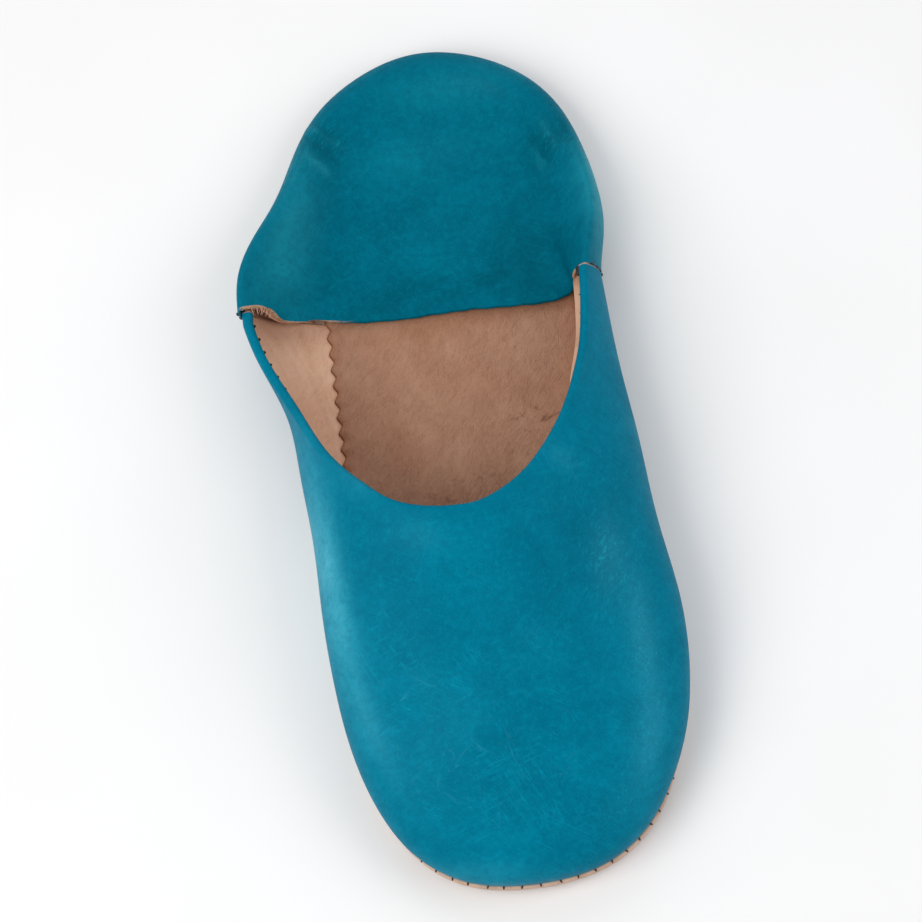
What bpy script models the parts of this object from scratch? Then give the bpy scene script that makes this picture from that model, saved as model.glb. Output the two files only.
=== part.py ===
"""Babouche slipper for the right foot: a soft leather mule with its heel quarter folded flat inside.

The toe points along -Y, the big-toe side is +X, and the outsole stands on the plane Z = 0.
The origin is on the ground, under the middle of the sole's length, on the axis of the heel.
"""
import math

import bmesh
import bpy
import numpy as np

# Sole and insole, in metres
SOLE_LENGTH = 0.253
BALL_WIDTH = 0.0944
HEEL_WIDTH = 0.0795
SOLE_THICKNESS = 0.0035
TOE_SPRING = 0.0035
INSOLE_THICKNESS = 0.0015

# Upper, with its heights measured from the top of the sole
INSTEP_HEIGHT = 0.0420
SEAM_HEIGHT = 0.0228
HEEL_FOLD_HEIGHT = 0.0084
VAMP_LENGTH = 0.1005
LATERAL_FLARE = 0.0165
VAMP_WALL = 0.0019
QUARTER_WALL = 0.0018
TOPLINE_WALL = 0.0028
TOPLINE_BAND = 0.0040
SEAM_STEP = 0.0008

# Pinked edge of the insole, along its lateral side
PINKED_PITCH = 0.0050
PINKED_DEPTH = 0.0014

# Fits
CLEARANCE = 0.0003
INSOLE_EASE = 0.0007
FEATHER_INSET = 0.0012
FEATHER_RISE = 0.0010

# Places as shares of the sole's length from the back of the heel: the side seams, the start of the
# toe spring and the end of the pinking. The pinked edge lies at a share of the ball width.
SEAM_SHARE = 0.302
SPRING_SHARE = 0.72
PINKED_END_SHARE = 0.50
PINKED_EDGE_SHARE = 0.403

# Mesh density
OUTLINE_SAMPLES = 720
OUTLINE_OVERLAP = 3
OUTLINE_KNOT_POWER = 0.75
RIB_KNOT_POWER = 0.5
SLAB_RUNGS = 38
SLAB_COLUMNS = 7
VAMP_RIBS = 60
VAMP_ROWS = 12
QUARTER_RIBS = 50
CURVE_SAMPLES = 80
SPAN_ROWS = (2, 4, 3, 4, 4)
SMALLEST_RUNG = 0.0002
TOPLINE_ROWS = np.array([0.85, 0.5, 0.0])
SHARP_ANGLE = math.radians(40)

# Outline of the sole, round from the back of the heel by the lateral side to the toe and back.
# across is a share of the size named in the last column, and positive towards the big toe.
OUTLINE = (
    ("heel_back", 0.000, 0.000, "heel"),
    ("heel_round_lateral", 0.045, -0.352, "heel"),
    ("heel_side_lateral", 0.150, -0.505, "heel"),
    ("waist_lateral", 0.370, -0.465, "ball"),
    ("joint_lateral", 0.665, -0.474, "ball"),
    ("small_toe", 0.856, -0.432, "ball"),
    ("small_toe_tip", 0.937, -0.348, "ball"),
    ("toe_lateral", 0.984, -0.205, "ball"),
    ("toe_tip", 1.000, 0.035, "ball"),
    ("toe_medial", 0.986, 0.235, "ball"),
    ("big_toe_tip", 0.944, 0.383, "ball"),
    ("big_toe", 0.862, 0.493, "ball"),
    ("joint_medial", 0.760, 0.526, "ball"),
    ("waist_medial", 0.485, 0.453, "ball"),
    ("seam_medial", 0.310, 0.423, "ball"),
    ("heel_side_medial", 0.150, 0.500, "heel"),
    ("heel_round_medial", 0.045, 0.352, "heel"),
)

# Ribs of the vamp, each from the feather edge up to the throat, in order from the lateral side seam
# round the toe (reach 0 to 1). The throat's edge is given by top_across (share of the ball width),
# top_flare (share of the lateral flare, outwards), top_along (from the throat's lowest point, 0, back
# to the side seams, 1) and top_rise (from the seam's height, 0, up to the instep's, 1). Two handles
# shape the rib: the first stands off the feather edge by out_1 and up_1, and the second off the throat
# by a share of the rib's plan length (in_2), by out_2 and down by down_2, as shares of the instep height.
VAMP_COLUMNS = (
    "reach", "top_across", "top_flare", "top_along", "top_rise", "out_1", "up_1", "in_2", "out_2", "down_2"
)
VAMP = (
    (0.00, -0.470, 1.00, 0.988, -0.05, 0.27, 0.08, 0.00, 0.01, 0.22),
    (0.04, -0.468, 0.79, 0.773, 0.12, 0.27, 0.13, 0.00, 0.02, 0.22),
    (0.09, -0.450, 0.41, 0.535, 0.29, 0.23, 0.22, 0.00, 0.04, 0.24),
    (0.14, -0.423, 0.12, 0.337, 0.47, 0.25, 0.37, 0.10, 0.12, 0.20),
    (0.20, -0.350, 0.00, 0.192, 0.67, 0.27, 0.50, 0.28, 0.13, 0.13),
    (0.28, -0.260, 0.00, 0.082, 0.83, 0.32, 0.53, 0.46, 0.06, 0.20),
    (0.38, -0.159, 0.00, 0.021, 0.95, 0.25, 0.46, 0.52, 0.02, 0.31),
    (0.50, -0.053, 0.00, 0.000, 1.00, 0.08, 0.39, 0.53, 0.00, 0.38),
    (0.62, 0.051, 0.00, 0.024, 0.98, 0.20, 0.46, 0.52, 0.02, 0.34),
    (0.70, 0.143, 0.00, 0.099, 0.87, 0.37, 0.51, 0.46, 0.05, 0.24),
    (0.78, 0.228, 0.00, 0.218, 0.73, 0.33, 0.51, 0.32, 0.11, 0.15),
    (0.86, 0.313, 0.00, 0.383, 0.57, 0.32, 0.41, 0.14, 0.16, 0.17),
    (0.92, 0.365, 0.00, 0.542, 0.41, 0.30, 0.28, 0.02, 0.18, 0.20),
    (0.96, 0.393, 0.00, 0.694, 0.26, 0.25, 0.19, 0.00, 0.18, 0.18),
    (1.00, 0.418, 0.00, 0.975, 0.03, 0.18, 0.11, 0.00, 0.15, 0.16),
)

# Ribs of the quarter, each from the feather edge up the wall, over the fold and along the flap, in
# order from the lateral side seam round the back of the heel (reach 0 to 1). flare is the share of
# the lateral flare that the rib leans out by. The side and the fold stand off the sole's edge by
# side_out and fold_out. lift says how much of the way from the heel fold's height up to the seam's
# height the fold stands. The shoulder and the touch-down lead down to the flap, and edge_across is
# where the rib ends on the collar edge (share of the heel width). Plan offsets are shares of the
# heel width, and down_3 and high_4 of the seam's height.
QUARTER_COLUMNS = (
    "reach", "flare", "side_out", "side_up", "fold_out", "lift", "in_3", "down_3", "out_4", "high_4",
    "edge_across",
)
QUARTER = (
    (0.00, 1.00, -0.036, 0.38, 0.008, 1.00, 0.066, 0.14, -0.150, 0.32, -0.478),
    (0.05, 1.00, -0.030, 0.40, 0.000, 0.88, 0.068, 0.12, -0.200, 0.22, -0.455),
    (0.10, 0.86, -0.022, 0.42, -0.015, 0.69, 0.072, 0.12, -0.220, 0.14, -0.415),
    (0.15, 0.56, -0.008, 0.45, -0.018, 0.48, 0.076, 0.10, -0.215, 0.09, -0.370),
    (0.20, 0.24, 0.024, 0.48, -0.002, 0.32, 0.080, 0.09, -0.225, 0.06, -0.320),
    (0.28, 0.04, 0.044, 0.50, 0.003, 0.13, 0.086, 0.07, -0.255, 0.03, -0.230),
    (0.37, 0.00, 0.042, 0.50, -0.004, 0.03, 0.092, 0.06, -0.290, 0.02, -0.125),
    (0.50, 0.00, 0.056, 0.50, 0.000, 0.00, 0.096, 0.05, -0.320, 0.02, 0.005),
    (0.63, 0.00, 0.051, 0.50, 0.004, 0.03, 0.092, 0.06, -0.290, 0.02, 0.130),
    (0.72, 0.00, 0.060, 0.50, 0.018, 0.12, 0.086, 0.07, -0.255, 0.03, 0.225),
    (0.80, 0.00, 0.070, 0.48, 0.038, 0.28, 0.080, 0.09, -0.200, 0.06, 0.305),
    (0.86, 0.00, 0.081, 0.46, 0.051, 0.46, 0.070, 0.11, -0.150, 0.09, 0.365),
    (0.92, 0.00, 0.087, 0.44, 0.047, 0.70, 0.060, 0.14, -0.105, 0.15, 0.412),
    (0.96, 0.00, 0.078, 0.44, 0.026, 0.88, 0.050, 0.16, -0.078, 0.24, 0.440),
    (1.00, 0.00, 0.066, 0.47, 0.006, 1.00, 0.043, 0.17, -0.058, 0.38, 0.458),
)

# The collar edge across the insole: how far it runs ahead of the side seams, as a share of the
# heel width, at places from the lateral end (0) to the medial end (1).
COLLAR_COLUMNS = ("across", "ahead")
COLLAR = (
    (0.0, 0.008),
    (0.12, 0.026),
    (0.3, 0.043),
    (0.55, 0.046),
    (0.8, 0.062),
    (0.93, 0.050),
    (1.0, 0.024),
)

# Leathers: colour and roughness
LEATHERS = {
    "sole_leather": ((0.560, 0.370, 0.250, 1.0), 0.65),
    "lining_leather": ((0.445, 0.245, 0.155, 1.0), 0.60),
    "vamp_leather": ((0.000, 0.205, 0.310, 1.0), 0.42),
    "quarter_leather": ((0.000, 0.165, 0.235, 1.0), 0.50),
}


def natural_spline(knots, values, at):
    """Reads a natural cubic spline through the rows of values, one row for each knot."""
    knots = np.asarray(knots, float)
    values = np.asarray(values, float).reshape(len(knots), -1)
    step = np.diff(knots)
    slope = np.diff(values, axis=0) / step[:, None]
    matrix = np.eye(len(knots))
    right = np.zeros_like(values)
    for i in range(1, len(knots) - 1):
        matrix[i, i - 1 : i + 2] = step[i - 1], 2 * (step[i - 1] + step[i]), step[i]
        right[i] = 6 * (slope[i] - slope[i - 1])
    bend = np.linalg.solve(matrix, right)
    at = np.asarray(at, float)
    i = np.clip(np.searchsorted(knots, at, side="right") - 1, 0, len(step) - 1)
    width = step[i][:, None]
    before = (at - knots[i])[:, None]
    after = width - before
    curve = (bend[i] * after**3 + bend[i + 1] * before**3) / (6 * width)
    curve += (values[i] / width - bend[i] * width / 6) * after
    return curve + (values[i + 1] / width - bend[i + 1] * width / 6) * before


def columns(table, names):
    """A table of rows as a dictionary of arrays, one for each named column."""
    return {name: np.array([row[i] for row in table]) for i, name in enumerate(names)}


def read_table(table, names, at):
    """Each column of a table, read smoothly at places along its first column."""
    found = columns(table, names)
    knots = found[names[0]]
    return {name: natural_spline(knots, found[name], at)[:, 0] for name in names[1:]}


def length_place(along):
    """Y of a share of the sole's length, counted from the back of the heel."""
    return SOLE_LENGTH * (0.5 - along)


def ground_rise(y):
    """Height of the sole's underside: flat on the ground, then curving up to the toe spring."""
    along = 0.5 - np.asarray(y, float) / SOLE_LENGTH
    share = np.clip((along - SPRING_SHARE) / (1 - SPRING_SHARE), 0, 1)
    return TOE_SPRING * share**2


def foot_height(y):
    """Height at which a piece stands on the sole."""
    return ground_rise(y) + SOLE_THICKNESS + CLEARANCE


def lying_height():
    """Height of the flap's upper face where it lies on the insole."""
    return SOLE_THICKNESS + CLEARANCE + INSOLE_THICKNESS + CLEARANCE + QUARTER_WALL


def upper_height(above_sole):
    """Height above the ground of a place that is measured from the top of the sole."""
    return SOLE_THICKNESS + above_sole


def sole_outline():
    """Dense closed outline of the sole: (distance round it, points, outward normals)."""
    widths = {"heel": HEEL_WIDTH, "ball": BALL_WIDTH}
    rows = [(across * widths[follows], length_place(along)) for _, along, across, follows in OUTLINE]
    corners = np.array(rows)
    looped = np.vstack([corners[-OUTLINE_OVERLAP:], corners, corners[: OUTLINE_OVERLAP + 1]])
    chords = np.linalg.norm(np.diff(looped, axis=0), axis=1)
    knots = np.concatenate([[0], np.cumsum(chords**OUTLINE_KNOT_POWER)])
    at = np.linspace(knots[OUTLINE_OVERLAP], knots[OUTLINE_OVERLAP + len(corners)], OUTLINE_SAMPLES + 1)
    points = natural_spline(knots, looped, at)
    distance = np.concatenate([[0], np.cumsum(np.linalg.norm(np.diff(points, axis=0), axis=1))])
    tangent = np.roll(points[:-1], -1, axis=0) - np.roll(points[:-1], 1, axis=0)
    tangent = np.vstack([tangent, tangent[:1]])
    tangent /= np.linalg.norm(tangent, axis=1)[:, None]
    return distance, points, np.stack([tangent[:, 1], -tangent[:, 0]], axis=1)


def seam_distances(outline):
    """Distances round the outline at which it passes the side seams, lateral then medial."""
    distance, points, _ = outline
    behind = points[:, 1] > length_place(SEAM_SHARE)
    ahead = np.flatnonzero(~behind)
    return distance[ahead[0]], distance[ahead[-1]]


def outline_at(outline, distance):
    """Points and outward normals of the outline at these distances round it."""
    total = outline[0][-1]
    at = np.mod(distance, total)
    points = np.stack([np.interp(at, outline[0], outline[1][:, i]) for i in range(2)], axis=1)
    normals = np.stack([np.interp(at, outline[0], outline[2][:, i]) for i in range(2)], axis=1)
    return points, normals / np.linalg.norm(normals, axis=1)[:, None]


def vamp_ribs(outline):
    """Grid of points of the vamp's outer face: one rib for each place round the toe."""
    lateral, medial = seam_distances(outline)
    reach = np.linspace(0, 1, VAMP_RIBS + 1)
    edge, normal = outline_at(outline, lateral + reach * (medial - lateral))
    row = read_table(VAMP, VAMP_COLUMNS, reach)
    throat_y = length_place(1) + VAMP_LENGTH
    across = row["top_across"] * BALL_WIDTH - row["top_flare"] * LATERAL_FLARE
    along = throat_y + row["top_along"] * (length_place(SEAM_SHARE) - throat_y)
    height = upper_height(SEAM_HEIGHT + row["top_rise"] * (INSTEP_HEIGHT - SEAM_HEIGHT))
    top = np.column_stack([across, along, height])
    foot = np.column_stack([edge - normal * FEATHER_INSET, foot_height(edge[:, 1])])
    outward = np.column_stack([normal, np.zeros(len(normal))])
    up = np.array([0.0, 0.0, 1.0])
    raised = foot + up * FEATHER_RISE
    handle_1 = raised + outward * (row["out_1"] * INSTEP_HEIGHT)[:, None]
    handle_1 += up * (row["up_1"] * INSTEP_HEIGHT)[:, None]
    back = (foot - top) * (1, 1, 0)
    handle_2 = top + back * row["in_2"][:, None] + outward * (row["out_2"] * INSTEP_HEIGHT)[:, None]
    handle_2 -= up * (row["down_2"] * INSTEP_HEIGHT)[:, None]
    ribs = []
    for base, *handles in zip(foot, raised, handle_1, handle_2, top):
        ribs.append(np.vstack([base, turned_rib(bezier(handles))]))
    return np.array(ribs)


def bezier(handles):
    """Dense points of a cubic Bezier curve."""
    t = np.linspace(0, 1, CURVE_SAMPLES)[:, None]
    start, a, b, end = handles
    return (1 - t) ** 3 * start + 3 * (1 - t) ** 2 * t * a + 3 * (1 - t) * t**2 * b + t**3 * end


def turned_rib(curve):
    """The curve's points: even rows up to the turned edge, then the rows of the turned edge itself."""
    distance = np.concatenate([[0], np.cumsum(np.linalg.norm(np.diff(curve, axis=0), axis=1))])
    band = distance[-1] - TOPLINE_BAND
    at = np.concatenate([np.linspace(0, band, VAMP_ROWS), distance[-1] - TOPLINE_BAND * TOPLINE_ROWS])
    return np.stack([np.interp(at, distance, curve[:, i]) for i in range(3)], axis=1)


def quarter_ribs(outline):
    """Grid of points of the quarter's dyed face: up the wall, over the fold and along the flap."""
    lateral, medial = seam_distances(outline)
    total = outline[0][-1]
    reach = np.linspace(0, 1, QUARTER_RIBS + 1)
    start, end = lateral - CLEARANCE, medial - total + CLEARANCE
    edge, normal = outline_at(outline, start + reach * (end - start))
    row = read_table(QUARTER, QUARTER_COLUMNS, reach)
    ahead = read_table(COLLAR, COLLAR_COLUMNS, reach)["ahead"] * HEEL_WIDTH
    outward = np.column_stack([normal, np.zeros(len(normal))])
    up = np.array([0.0, 0.0, 1.0])
    flare = row["flare"] * LATERAL_FLARE
    fold_top = upper_height(HEEL_FOLD_HEIGHT + row["lift"] * (SEAM_HEIGHT - HEEL_FOLD_HEIGHT))
    foot = np.column_stack([edge - normal * (FEATHER_INSET - SEAM_STEP), foot_height(edge[:, 1])])
    flat = np.column_stack([edge, np.zeros(len(edge))])
    raised = foot + up * FEATHER_RISE
    side = flat + outward * (row["side_out"] * HEEL_WIDTH + flare)[:, None]
    side[:, 2] = foot[:, 2] + row["side_up"] * (fold_top - foot[:, 2])
    fold = flat + outward * (row["fold_out"] * HEEL_WIDTH + flare)[:, None]
    fold[:, 2] = fold_top
    shoulder = fold - outward * (row["in_3"] * HEEL_WIDTH)[:, None]
    shoulder[:, 2] -= row["down_3"] * SEAM_HEIGHT
    touch = flat + outward * (row["out_4"] * HEEL_WIDTH + flare)[:, None]
    touch[:, 2] = lying_height() + row["high_4"] * SEAM_HEIGHT
    seam_y = edge[0, 1] + (edge[-1, 1] - edge[0, 1]) * reach
    collar = np.column_stack([row["edge_across"] * HEEL_WIDTH, seam_y - ahead, lying_height() + 0 * ahead])
    ribs = []
    for base, *stations in zip(foot, raised, side, fold, shoulder, touch, collar):
        stations = np.array(stations)
        chords = np.linalg.norm(np.diff(stations, axis=0), axis=1)
        knots = np.concatenate([[0], np.cumsum(chords**RIB_KNOT_POWER)])
        at = [knots[:1]]
        for i, count in enumerate(SPAN_ROWS):
            at.append(np.linspace(knots[i], knots[i + 1], count + 1)[1:])
        rib = natural_spline(knots, stations, np.concatenate(at))
        lies = np.arange(len(rib)) > sum(SPAN_ROWS[:3])
        rib[lies, 2] = np.maximum(rib[lies, 2], lying_height())
        ribs.append(np.vstack([base, rib]))
    return np.array(ribs)


def collection(name):
    """A new collection of the scene."""
    made = bpy.data.collections.new(name)
    bpy.context.scene.collection.children.link(made)
    return made


def leather(name):
    """A plain material of one of the slipper's leathers."""
    colour, roughness = LEATHERS[name]
    material = bpy.data.materials.new(name)
    material.use_nodes = True
    shader = material.node_tree.nodes["Principled BSDF"]
    shader.inputs["Base Color"].default_value = colour
    shader.inputs["Roughness"].default_value = roughness
    shader.inputs["Metallic"].default_value = 0.0
    return material


def object_from(name, mesh, material, home):
    """An object of this mesh, shaded smooth with its sharp edges kept."""
    mesh.materials.append(material)
    mesh.shade_smooth()
    mesh.set_sharp_from_angle(angle=SHARP_ANGLE)
    made = bpy.data.objects.new(name, mesh)
    home.objects.link(made)
    return made


def grid_mesh(name, grid, flipped=False):
    """A sheet of quads through a grid of points."""
    across, down = grid.shape[:2]
    sheet = bmesh.new()
    verts = [[sheet.verts.new(point) for point in line] for line in grid]
    for i in range(across - 1):
        for j in range(down - 1):
            corners = (verts[i][j], verts[i + 1][j], verts[i + 1][j + 1], verts[i][j + 1])
            sheet.faces.new(corners[::-1] if flipped else corners)
    mesh = bpy.data.meshes.new(name)
    sheet.to_mesh(mesh)
    sheet.free()
    return mesh


def shell(name, grid, wall, material, home, flipped=False):
    """A leather wall: the sheet is its outer face, and Solidify gives it thickness inwards."""
    made = object_from(name, grid_mesh(name, grid, flipped), material, home)
    solidify = made.modifiers.new("wall", "SOLIDIFY")
    solidify.thickness = wall
    solidify.offset = -1
    solidify.use_even_offset = False
    return made


def turn_topline(made, rows):
    """Thickens the last rows of the vamp's ribs, where the leather is turned in and sewn down."""
    band = made.vertex_groups.new(name="turned edge")
    turned = len(TOPLINE_ROWS)
    band.add([i for i in range(len(made.data.vertices)) if i % rows >= rows - turned], 1.0, "REPLACE")
    solidify = made.modifiers["wall"]
    solidify.thickness = TOPLINE_WALL
    solidify.vertex_group = band.name
    solidify.thickness_vertex_group = VAMP_WALL / TOPLINE_WALL


def slab(name, outline, inset, low, thickness, material, home, pinked=False):
    """A flat piece cut to the sole's outline, less an inset, following the toe spring.

    It is a ladder of rungs across the outline from heel to toe, skinned below, above and at both sides.
    """
    _, points, normals = outline
    rim = (points - normals * inset)[:-1]
    rim = np.roll(rim, -np.argmax(rim[:, 1]), axis=0)
    toe = np.argmin(rim[:, 1])
    lateral = rim[: toe + 1]
    medial = np.vstack([rim[toe:], rim[:1]])[::-1]
    turn = (1 - np.cos(np.linspace(0, math.pi, SLAB_RUNGS + 1))) / 2
    rung_y = rim[0, 1] + (rim[toe, 1] - rim[0, 1]) * turn
    if pinked:
        rung_y = np.sort(np.concatenate([rung_y, teeth_y()]))[::-1]
        rung_y = rung_y[np.concatenate([[True], np.diff(rung_y) < -SMALLEST_RUNG])]
    left, right = (np.interp(-rung_y, -side[:, 1], side[:, 0]) for side in (lateral, medial))
    if pinked:
        left = np.maximum(left, pinked_edge(rung_y))
    made = bmesh.new()
    layers = []
    for lift in (low, low + thickness):
        rungs = []
        for start, end, y in zip(left, right, rung_y):
            count = 1 if y in rung_y[[0, -1]] else SLAB_COLUMNS
            height = float(ground_rise(y)) + lift
            across = np.linspace(start, end, count) if count > 1 else [(start + end) / 2]
            rungs.append([made.verts.new((x, y, height)) for x in across])
        layers.append(rungs)
    for rungs, upward in ((layers[0], False), (layers[1], True)):
        for near, far in zip(rungs, rungs[1:]):
            skin(made, near, far, upward)
    for side in (0, -1):
        lower = [rung[side] for rung in layers[0]]
        upper = [rung[side] for rung in layers[1]]
        skin(made, lower, upper, side == 0)
    bmesh.ops.recalc_face_normals(made, faces=made.faces)
    mesh = bpy.data.meshes.new(name)
    made.to_mesh(mesh)
    made.free()
    return object_from(name, mesh, material, home)


def teeth_y():
    """Places along the insole of the tips and roots of its pinked edge."""
    start, end = length_place(SEAM_SHARE), length_place(PINKED_END_SHARE)
    return np.arange(start, end, -PINKED_PITCH / 2)


def pinked_edge(y):
    """X of the insole's lateral edge: straight, with teeth cut into it where it shows."""
    straight = -PINKED_EDGE_SHARE * BALL_WIDTH
    tips = teeth_y()
    depth = np.where(np.arange(len(tips)) % 2 == 1, PINKED_DEPTH, 0.0)
    return straight + np.interp(-y, -tips, depth, left=0.0, right=0.0)


def skin(made, near, far, upward):
    """Faces between two rows of vertices, where a row of one vertex makes a fan."""
    count = max(len(near), len(far))
    for i in range(count - 1):
        ring = []
        for row, places in ((near, (i, i + 1)), (far, (i + 1, i))):
            ring += [row[min(place, len(row) - 1)] for place in places]
        ring = list(dict.fromkeys(ring))
        made.faces.new(ring if upward else ring[::-1])


def build():
    """Makes the slipper's four pieces."""
    for old in list(bpy.data.objects):
        bpy.data.objects.remove(old)
    home = collection("babouche_slipper")
    outline = sole_outline()
    slab("outsole", outline, 0.0, 0.0, SOLE_THICKNESS, leather("sole_leather"), home)
    inset = FEATHER_INSET + max(VAMP_WALL, QUARTER_WALL) + INSOLE_EASE
    low = SOLE_THICKNESS + CLEARANCE
    slab("insole", outline, inset, low, INSOLE_THICKNESS, leather("lining_leather"), home, pinked=True)
    grid = vamp_ribs(outline)
    vamp = shell("vamp", grid, VAMP_WALL, leather("vamp_leather"), home)
    turn_topline(vamp, grid.shape[1])
    shell("heel_quarter", quarter_ribs(outline), QUARTER_WALL, leather("quarter_leather"), home, flipped=True)


build()
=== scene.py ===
"""Dresses the babouche slipper: dyed vamp and heel quarter, linings, pinked insole, sole and stitches.

Lengths are in metres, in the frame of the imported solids: the toe points along -Y, the big-toe side
is +X, and the sole stands on Z = 0.
"""

from __future__ import annotations

import logging
import math
from dataclasses import dataclass, field
from enum import Enum

import bpy
import numpy as np
from mathutils import Matrix, Vector

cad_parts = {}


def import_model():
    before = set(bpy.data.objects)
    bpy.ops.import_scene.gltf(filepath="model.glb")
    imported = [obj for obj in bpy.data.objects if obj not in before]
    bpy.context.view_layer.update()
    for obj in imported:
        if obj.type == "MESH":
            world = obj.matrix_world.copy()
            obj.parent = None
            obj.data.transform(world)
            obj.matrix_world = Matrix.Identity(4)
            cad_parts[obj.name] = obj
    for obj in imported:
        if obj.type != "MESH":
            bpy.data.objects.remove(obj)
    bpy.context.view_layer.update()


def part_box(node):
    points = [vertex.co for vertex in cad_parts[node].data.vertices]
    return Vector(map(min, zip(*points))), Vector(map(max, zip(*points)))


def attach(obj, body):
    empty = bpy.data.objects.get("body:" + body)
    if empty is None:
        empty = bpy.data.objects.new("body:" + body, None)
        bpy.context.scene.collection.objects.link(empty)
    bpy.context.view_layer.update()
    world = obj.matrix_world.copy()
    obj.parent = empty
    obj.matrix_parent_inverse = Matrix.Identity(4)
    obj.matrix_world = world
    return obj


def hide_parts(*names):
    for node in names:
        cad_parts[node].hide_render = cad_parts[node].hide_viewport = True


LOG = logging.getLogger("slipper")
Array = np.ndarray
Material, Mesh, Object = bpy.types.Material, bpy.types.Mesh, bpy.types.Object
Node, Socket = bpy.types.Node, bpy.types.NodeSocket
Value = Socket | float | tuple
MM = 0.001
UP = np.array([0.0, 0.0, 1.0])
# Edges that turn by more than this stay sharp.
SHARP_ANGLE = math.radians(50)
# Angles round a sheet's border at which its rows lie.
EDGE_TURN = np.radians([6.0, 32.0, 56.0, 76.0])
# Room between a leather and the lining or sole that it all but touches.
SKIN_GAP = 0.03 * MM
# Sides of a thread's tube.
TUBE_SIDES = 7


class Slot(Enum):
    """The record's material slots."""

    SOLE = "sole_leather"
    LINING = "lining_leather"
    VAMP = "vamp_leather"
    QUARTER = "quarter_leather"


def srgb(red: int, green: int, blue: int) -> tuple[float, float, float, float]:
    """A colour picked in 8-bit sRGB, as the linear colour that a shader takes.

    Args:
        red, green, blue: the picked values, from 0 to 255.

    Returns:
        Linear red, green, blue and an alpha of 1.
    """
    picked = np.array([red, green, blue]) / 255
    linear = np.where(picked <= 0.04045, picked / 12.92, ((picked + 0.055) / 1.055) ** 2.4)
    return (*linear.tolist(), 1.0)


def unit(vectors: Array) -> Array:
    """Vectors scaled to a length of 1 along the last axis."""
    return vectors / np.maximum(np.linalg.norm(vectors, axis=-1, keepdims=True), 1e-12)


def level(plan: Array) -> Array:
    """Points or directions in plan, with a height of 0 beside them."""
    return np.column_stack([plan, np.zeros(len(plan))])


def smooth(value: Array) -> Array:
    """The smoothstep of a value clamped to 0 to 1: three times its square less twice its cube."""
    t = np.clip(value, 0.0, 1.0)
    return t * t * (3 - 2 * t)


def natural_spline(knots: Array, values: Array, at: Array) -> Array:
    """Natural cubic splines, one for each curve of a batch.

    Each curve passes through its values at its knots, with no bend at both ends. The bends inside come
    from one tridiagonal system a curve, and between two knots the curve is the usual cubic of both
    values and both bends.

    Args:
        knots: rising places, one row a curve (curves, knots).
        values: what each curve passes through (curves, knots, width).
        at: the places to read (curves, places).

    Returns:
        The curves' values there (curves, places, width).
    """
    step = np.diff(knots, axis=1)
    slope = np.diff(values, axis=1) / step[..., None]
    count = knots.shape[1]
    inner = np.arange(1, count - 1)
    matrix = np.zeros((len(knots), count, count))
    matrix[:, 0, 0] = matrix[:, -1, -1] = 1
    matrix[:, inner, inner - 1] = step[:, :-1]
    matrix[:, inner, inner] = 2 * (step[:, :-1] + step[:, 1:])
    matrix[:, inner, inner + 1] = step[:, 1:]
    right = np.zeros_like(values)
    right[:, 1:-1] = 6 * np.diff(slope, axis=1)
    bend = np.linalg.solve(matrix, right)
    low = (at[:, :, None] >= knots[:, None, 1:-1]).sum(axis=2)

    def pick(table: Array, index: Array) -> Array:
        """The rows of a table at an index for each curve and place."""
        return np.take_along_axis(table, index[..., None], axis=1)

    width = np.take_along_axis(step, low, axis=1)[..., None]
    before = (at - np.take_along_axis(knots, low, axis=1))[..., None]
    after = width - before
    curve = (pick(bend, low) * after**3 + pick(bend, low + 1) * before**3) / (6 * width)
    curve += (pick(values, low) / width - pick(bend, low) * width / 6) * after
    return curve + (pick(values, low + 1) / width - pick(bend, low + 1) * width / 6) * before


def read_table(names: tuple[str, ...], rows: tuple, at: Array) -> dict[str, Array]:
    """Each column of a table, read smoothly at places along its first column.

    Args:
        names: the columns' names.
        rows: the table's rows.
        at: places along the first column.

    Returns:
        An array of values for each further column's name.
    """
    table = np.array(rows, float)
    found = natural_spline(table[None, :, 0], table[None, :, 1:], at[None])[0]
    return dict(zip(names[1:], found.T))


def resample(curves: Array, distance: Array) -> Array:
    """Points, or other values, of many curves at distances along each.

    The distances of all curves are laid end to end on one line, so that one reading serves them all.

    Args:
        curves: points of each curve, with any further values beside them (curves, samples, width).
        distance: distances along each curve's points (curves, places).

    Returns:
        The values there (curves, places, width).
    """
    length = arc_length(curves[..., :3])
    start = np.arange(len(curves))[:, None] * (length.max() + 1)
    at = np.clip(distance, 0, length[:, -1:]) + start
    known = (length + start).ravel()
    width = curves.shape[-1]
    read = [np.interp(at.ravel(), known, curves[..., i].ravel()) for i in range(width)]
    return np.stack(read, axis=-1).reshape(*distance.shape, width)


def arc_length(curves: Array, power: float = 1.0) -> Array:
    """Each point's distance from its curve's start, or a spline's knots, where chords count by a power."""
    chords = np.linalg.norm(np.diff(curves, axis=1), axis=2) ** power
    return np.concatenate([np.zeros((len(curves), 1)), np.cumsum(chords, axis=1)], axis=1)


def face_normals(grid: Array, facing: float) -> Array:
    """Outward normals of a grid of points: its two directions' cross product, turned by 1 or -1."""
    return unit(np.cross(np.gradient(grid, axis=0), np.gradient(grid, axis=1))) * facing


def undulation(points: Array, wavelength: float, seed: int, waves: int = 7) -> Array:
    """Smooth noise of about -1 to 1: the sum of sine waves in seeded directions, near one wavelength.

    Args:
        points: places in space (..., 3).
        wavelength: the waves' mean length.
        seed: picks directions, lengths and phases.
        waves: how many sines are summed.

    Returns:
        The noise at each point.
    """
    random = np.random.default_rng(seed)
    direction = unit(random.normal(size=(waves, 3)))
    pitch = 2 * math.pi / (wavelength * random.uniform(0.7, 1.5, waves))
    phase = random.uniform(0, 2 * math.pi, waves)
    return np.sin(points @ (direction * pitch[:, None]).T + phase).sum(axis=-1) / math.sqrt(waves)


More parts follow.
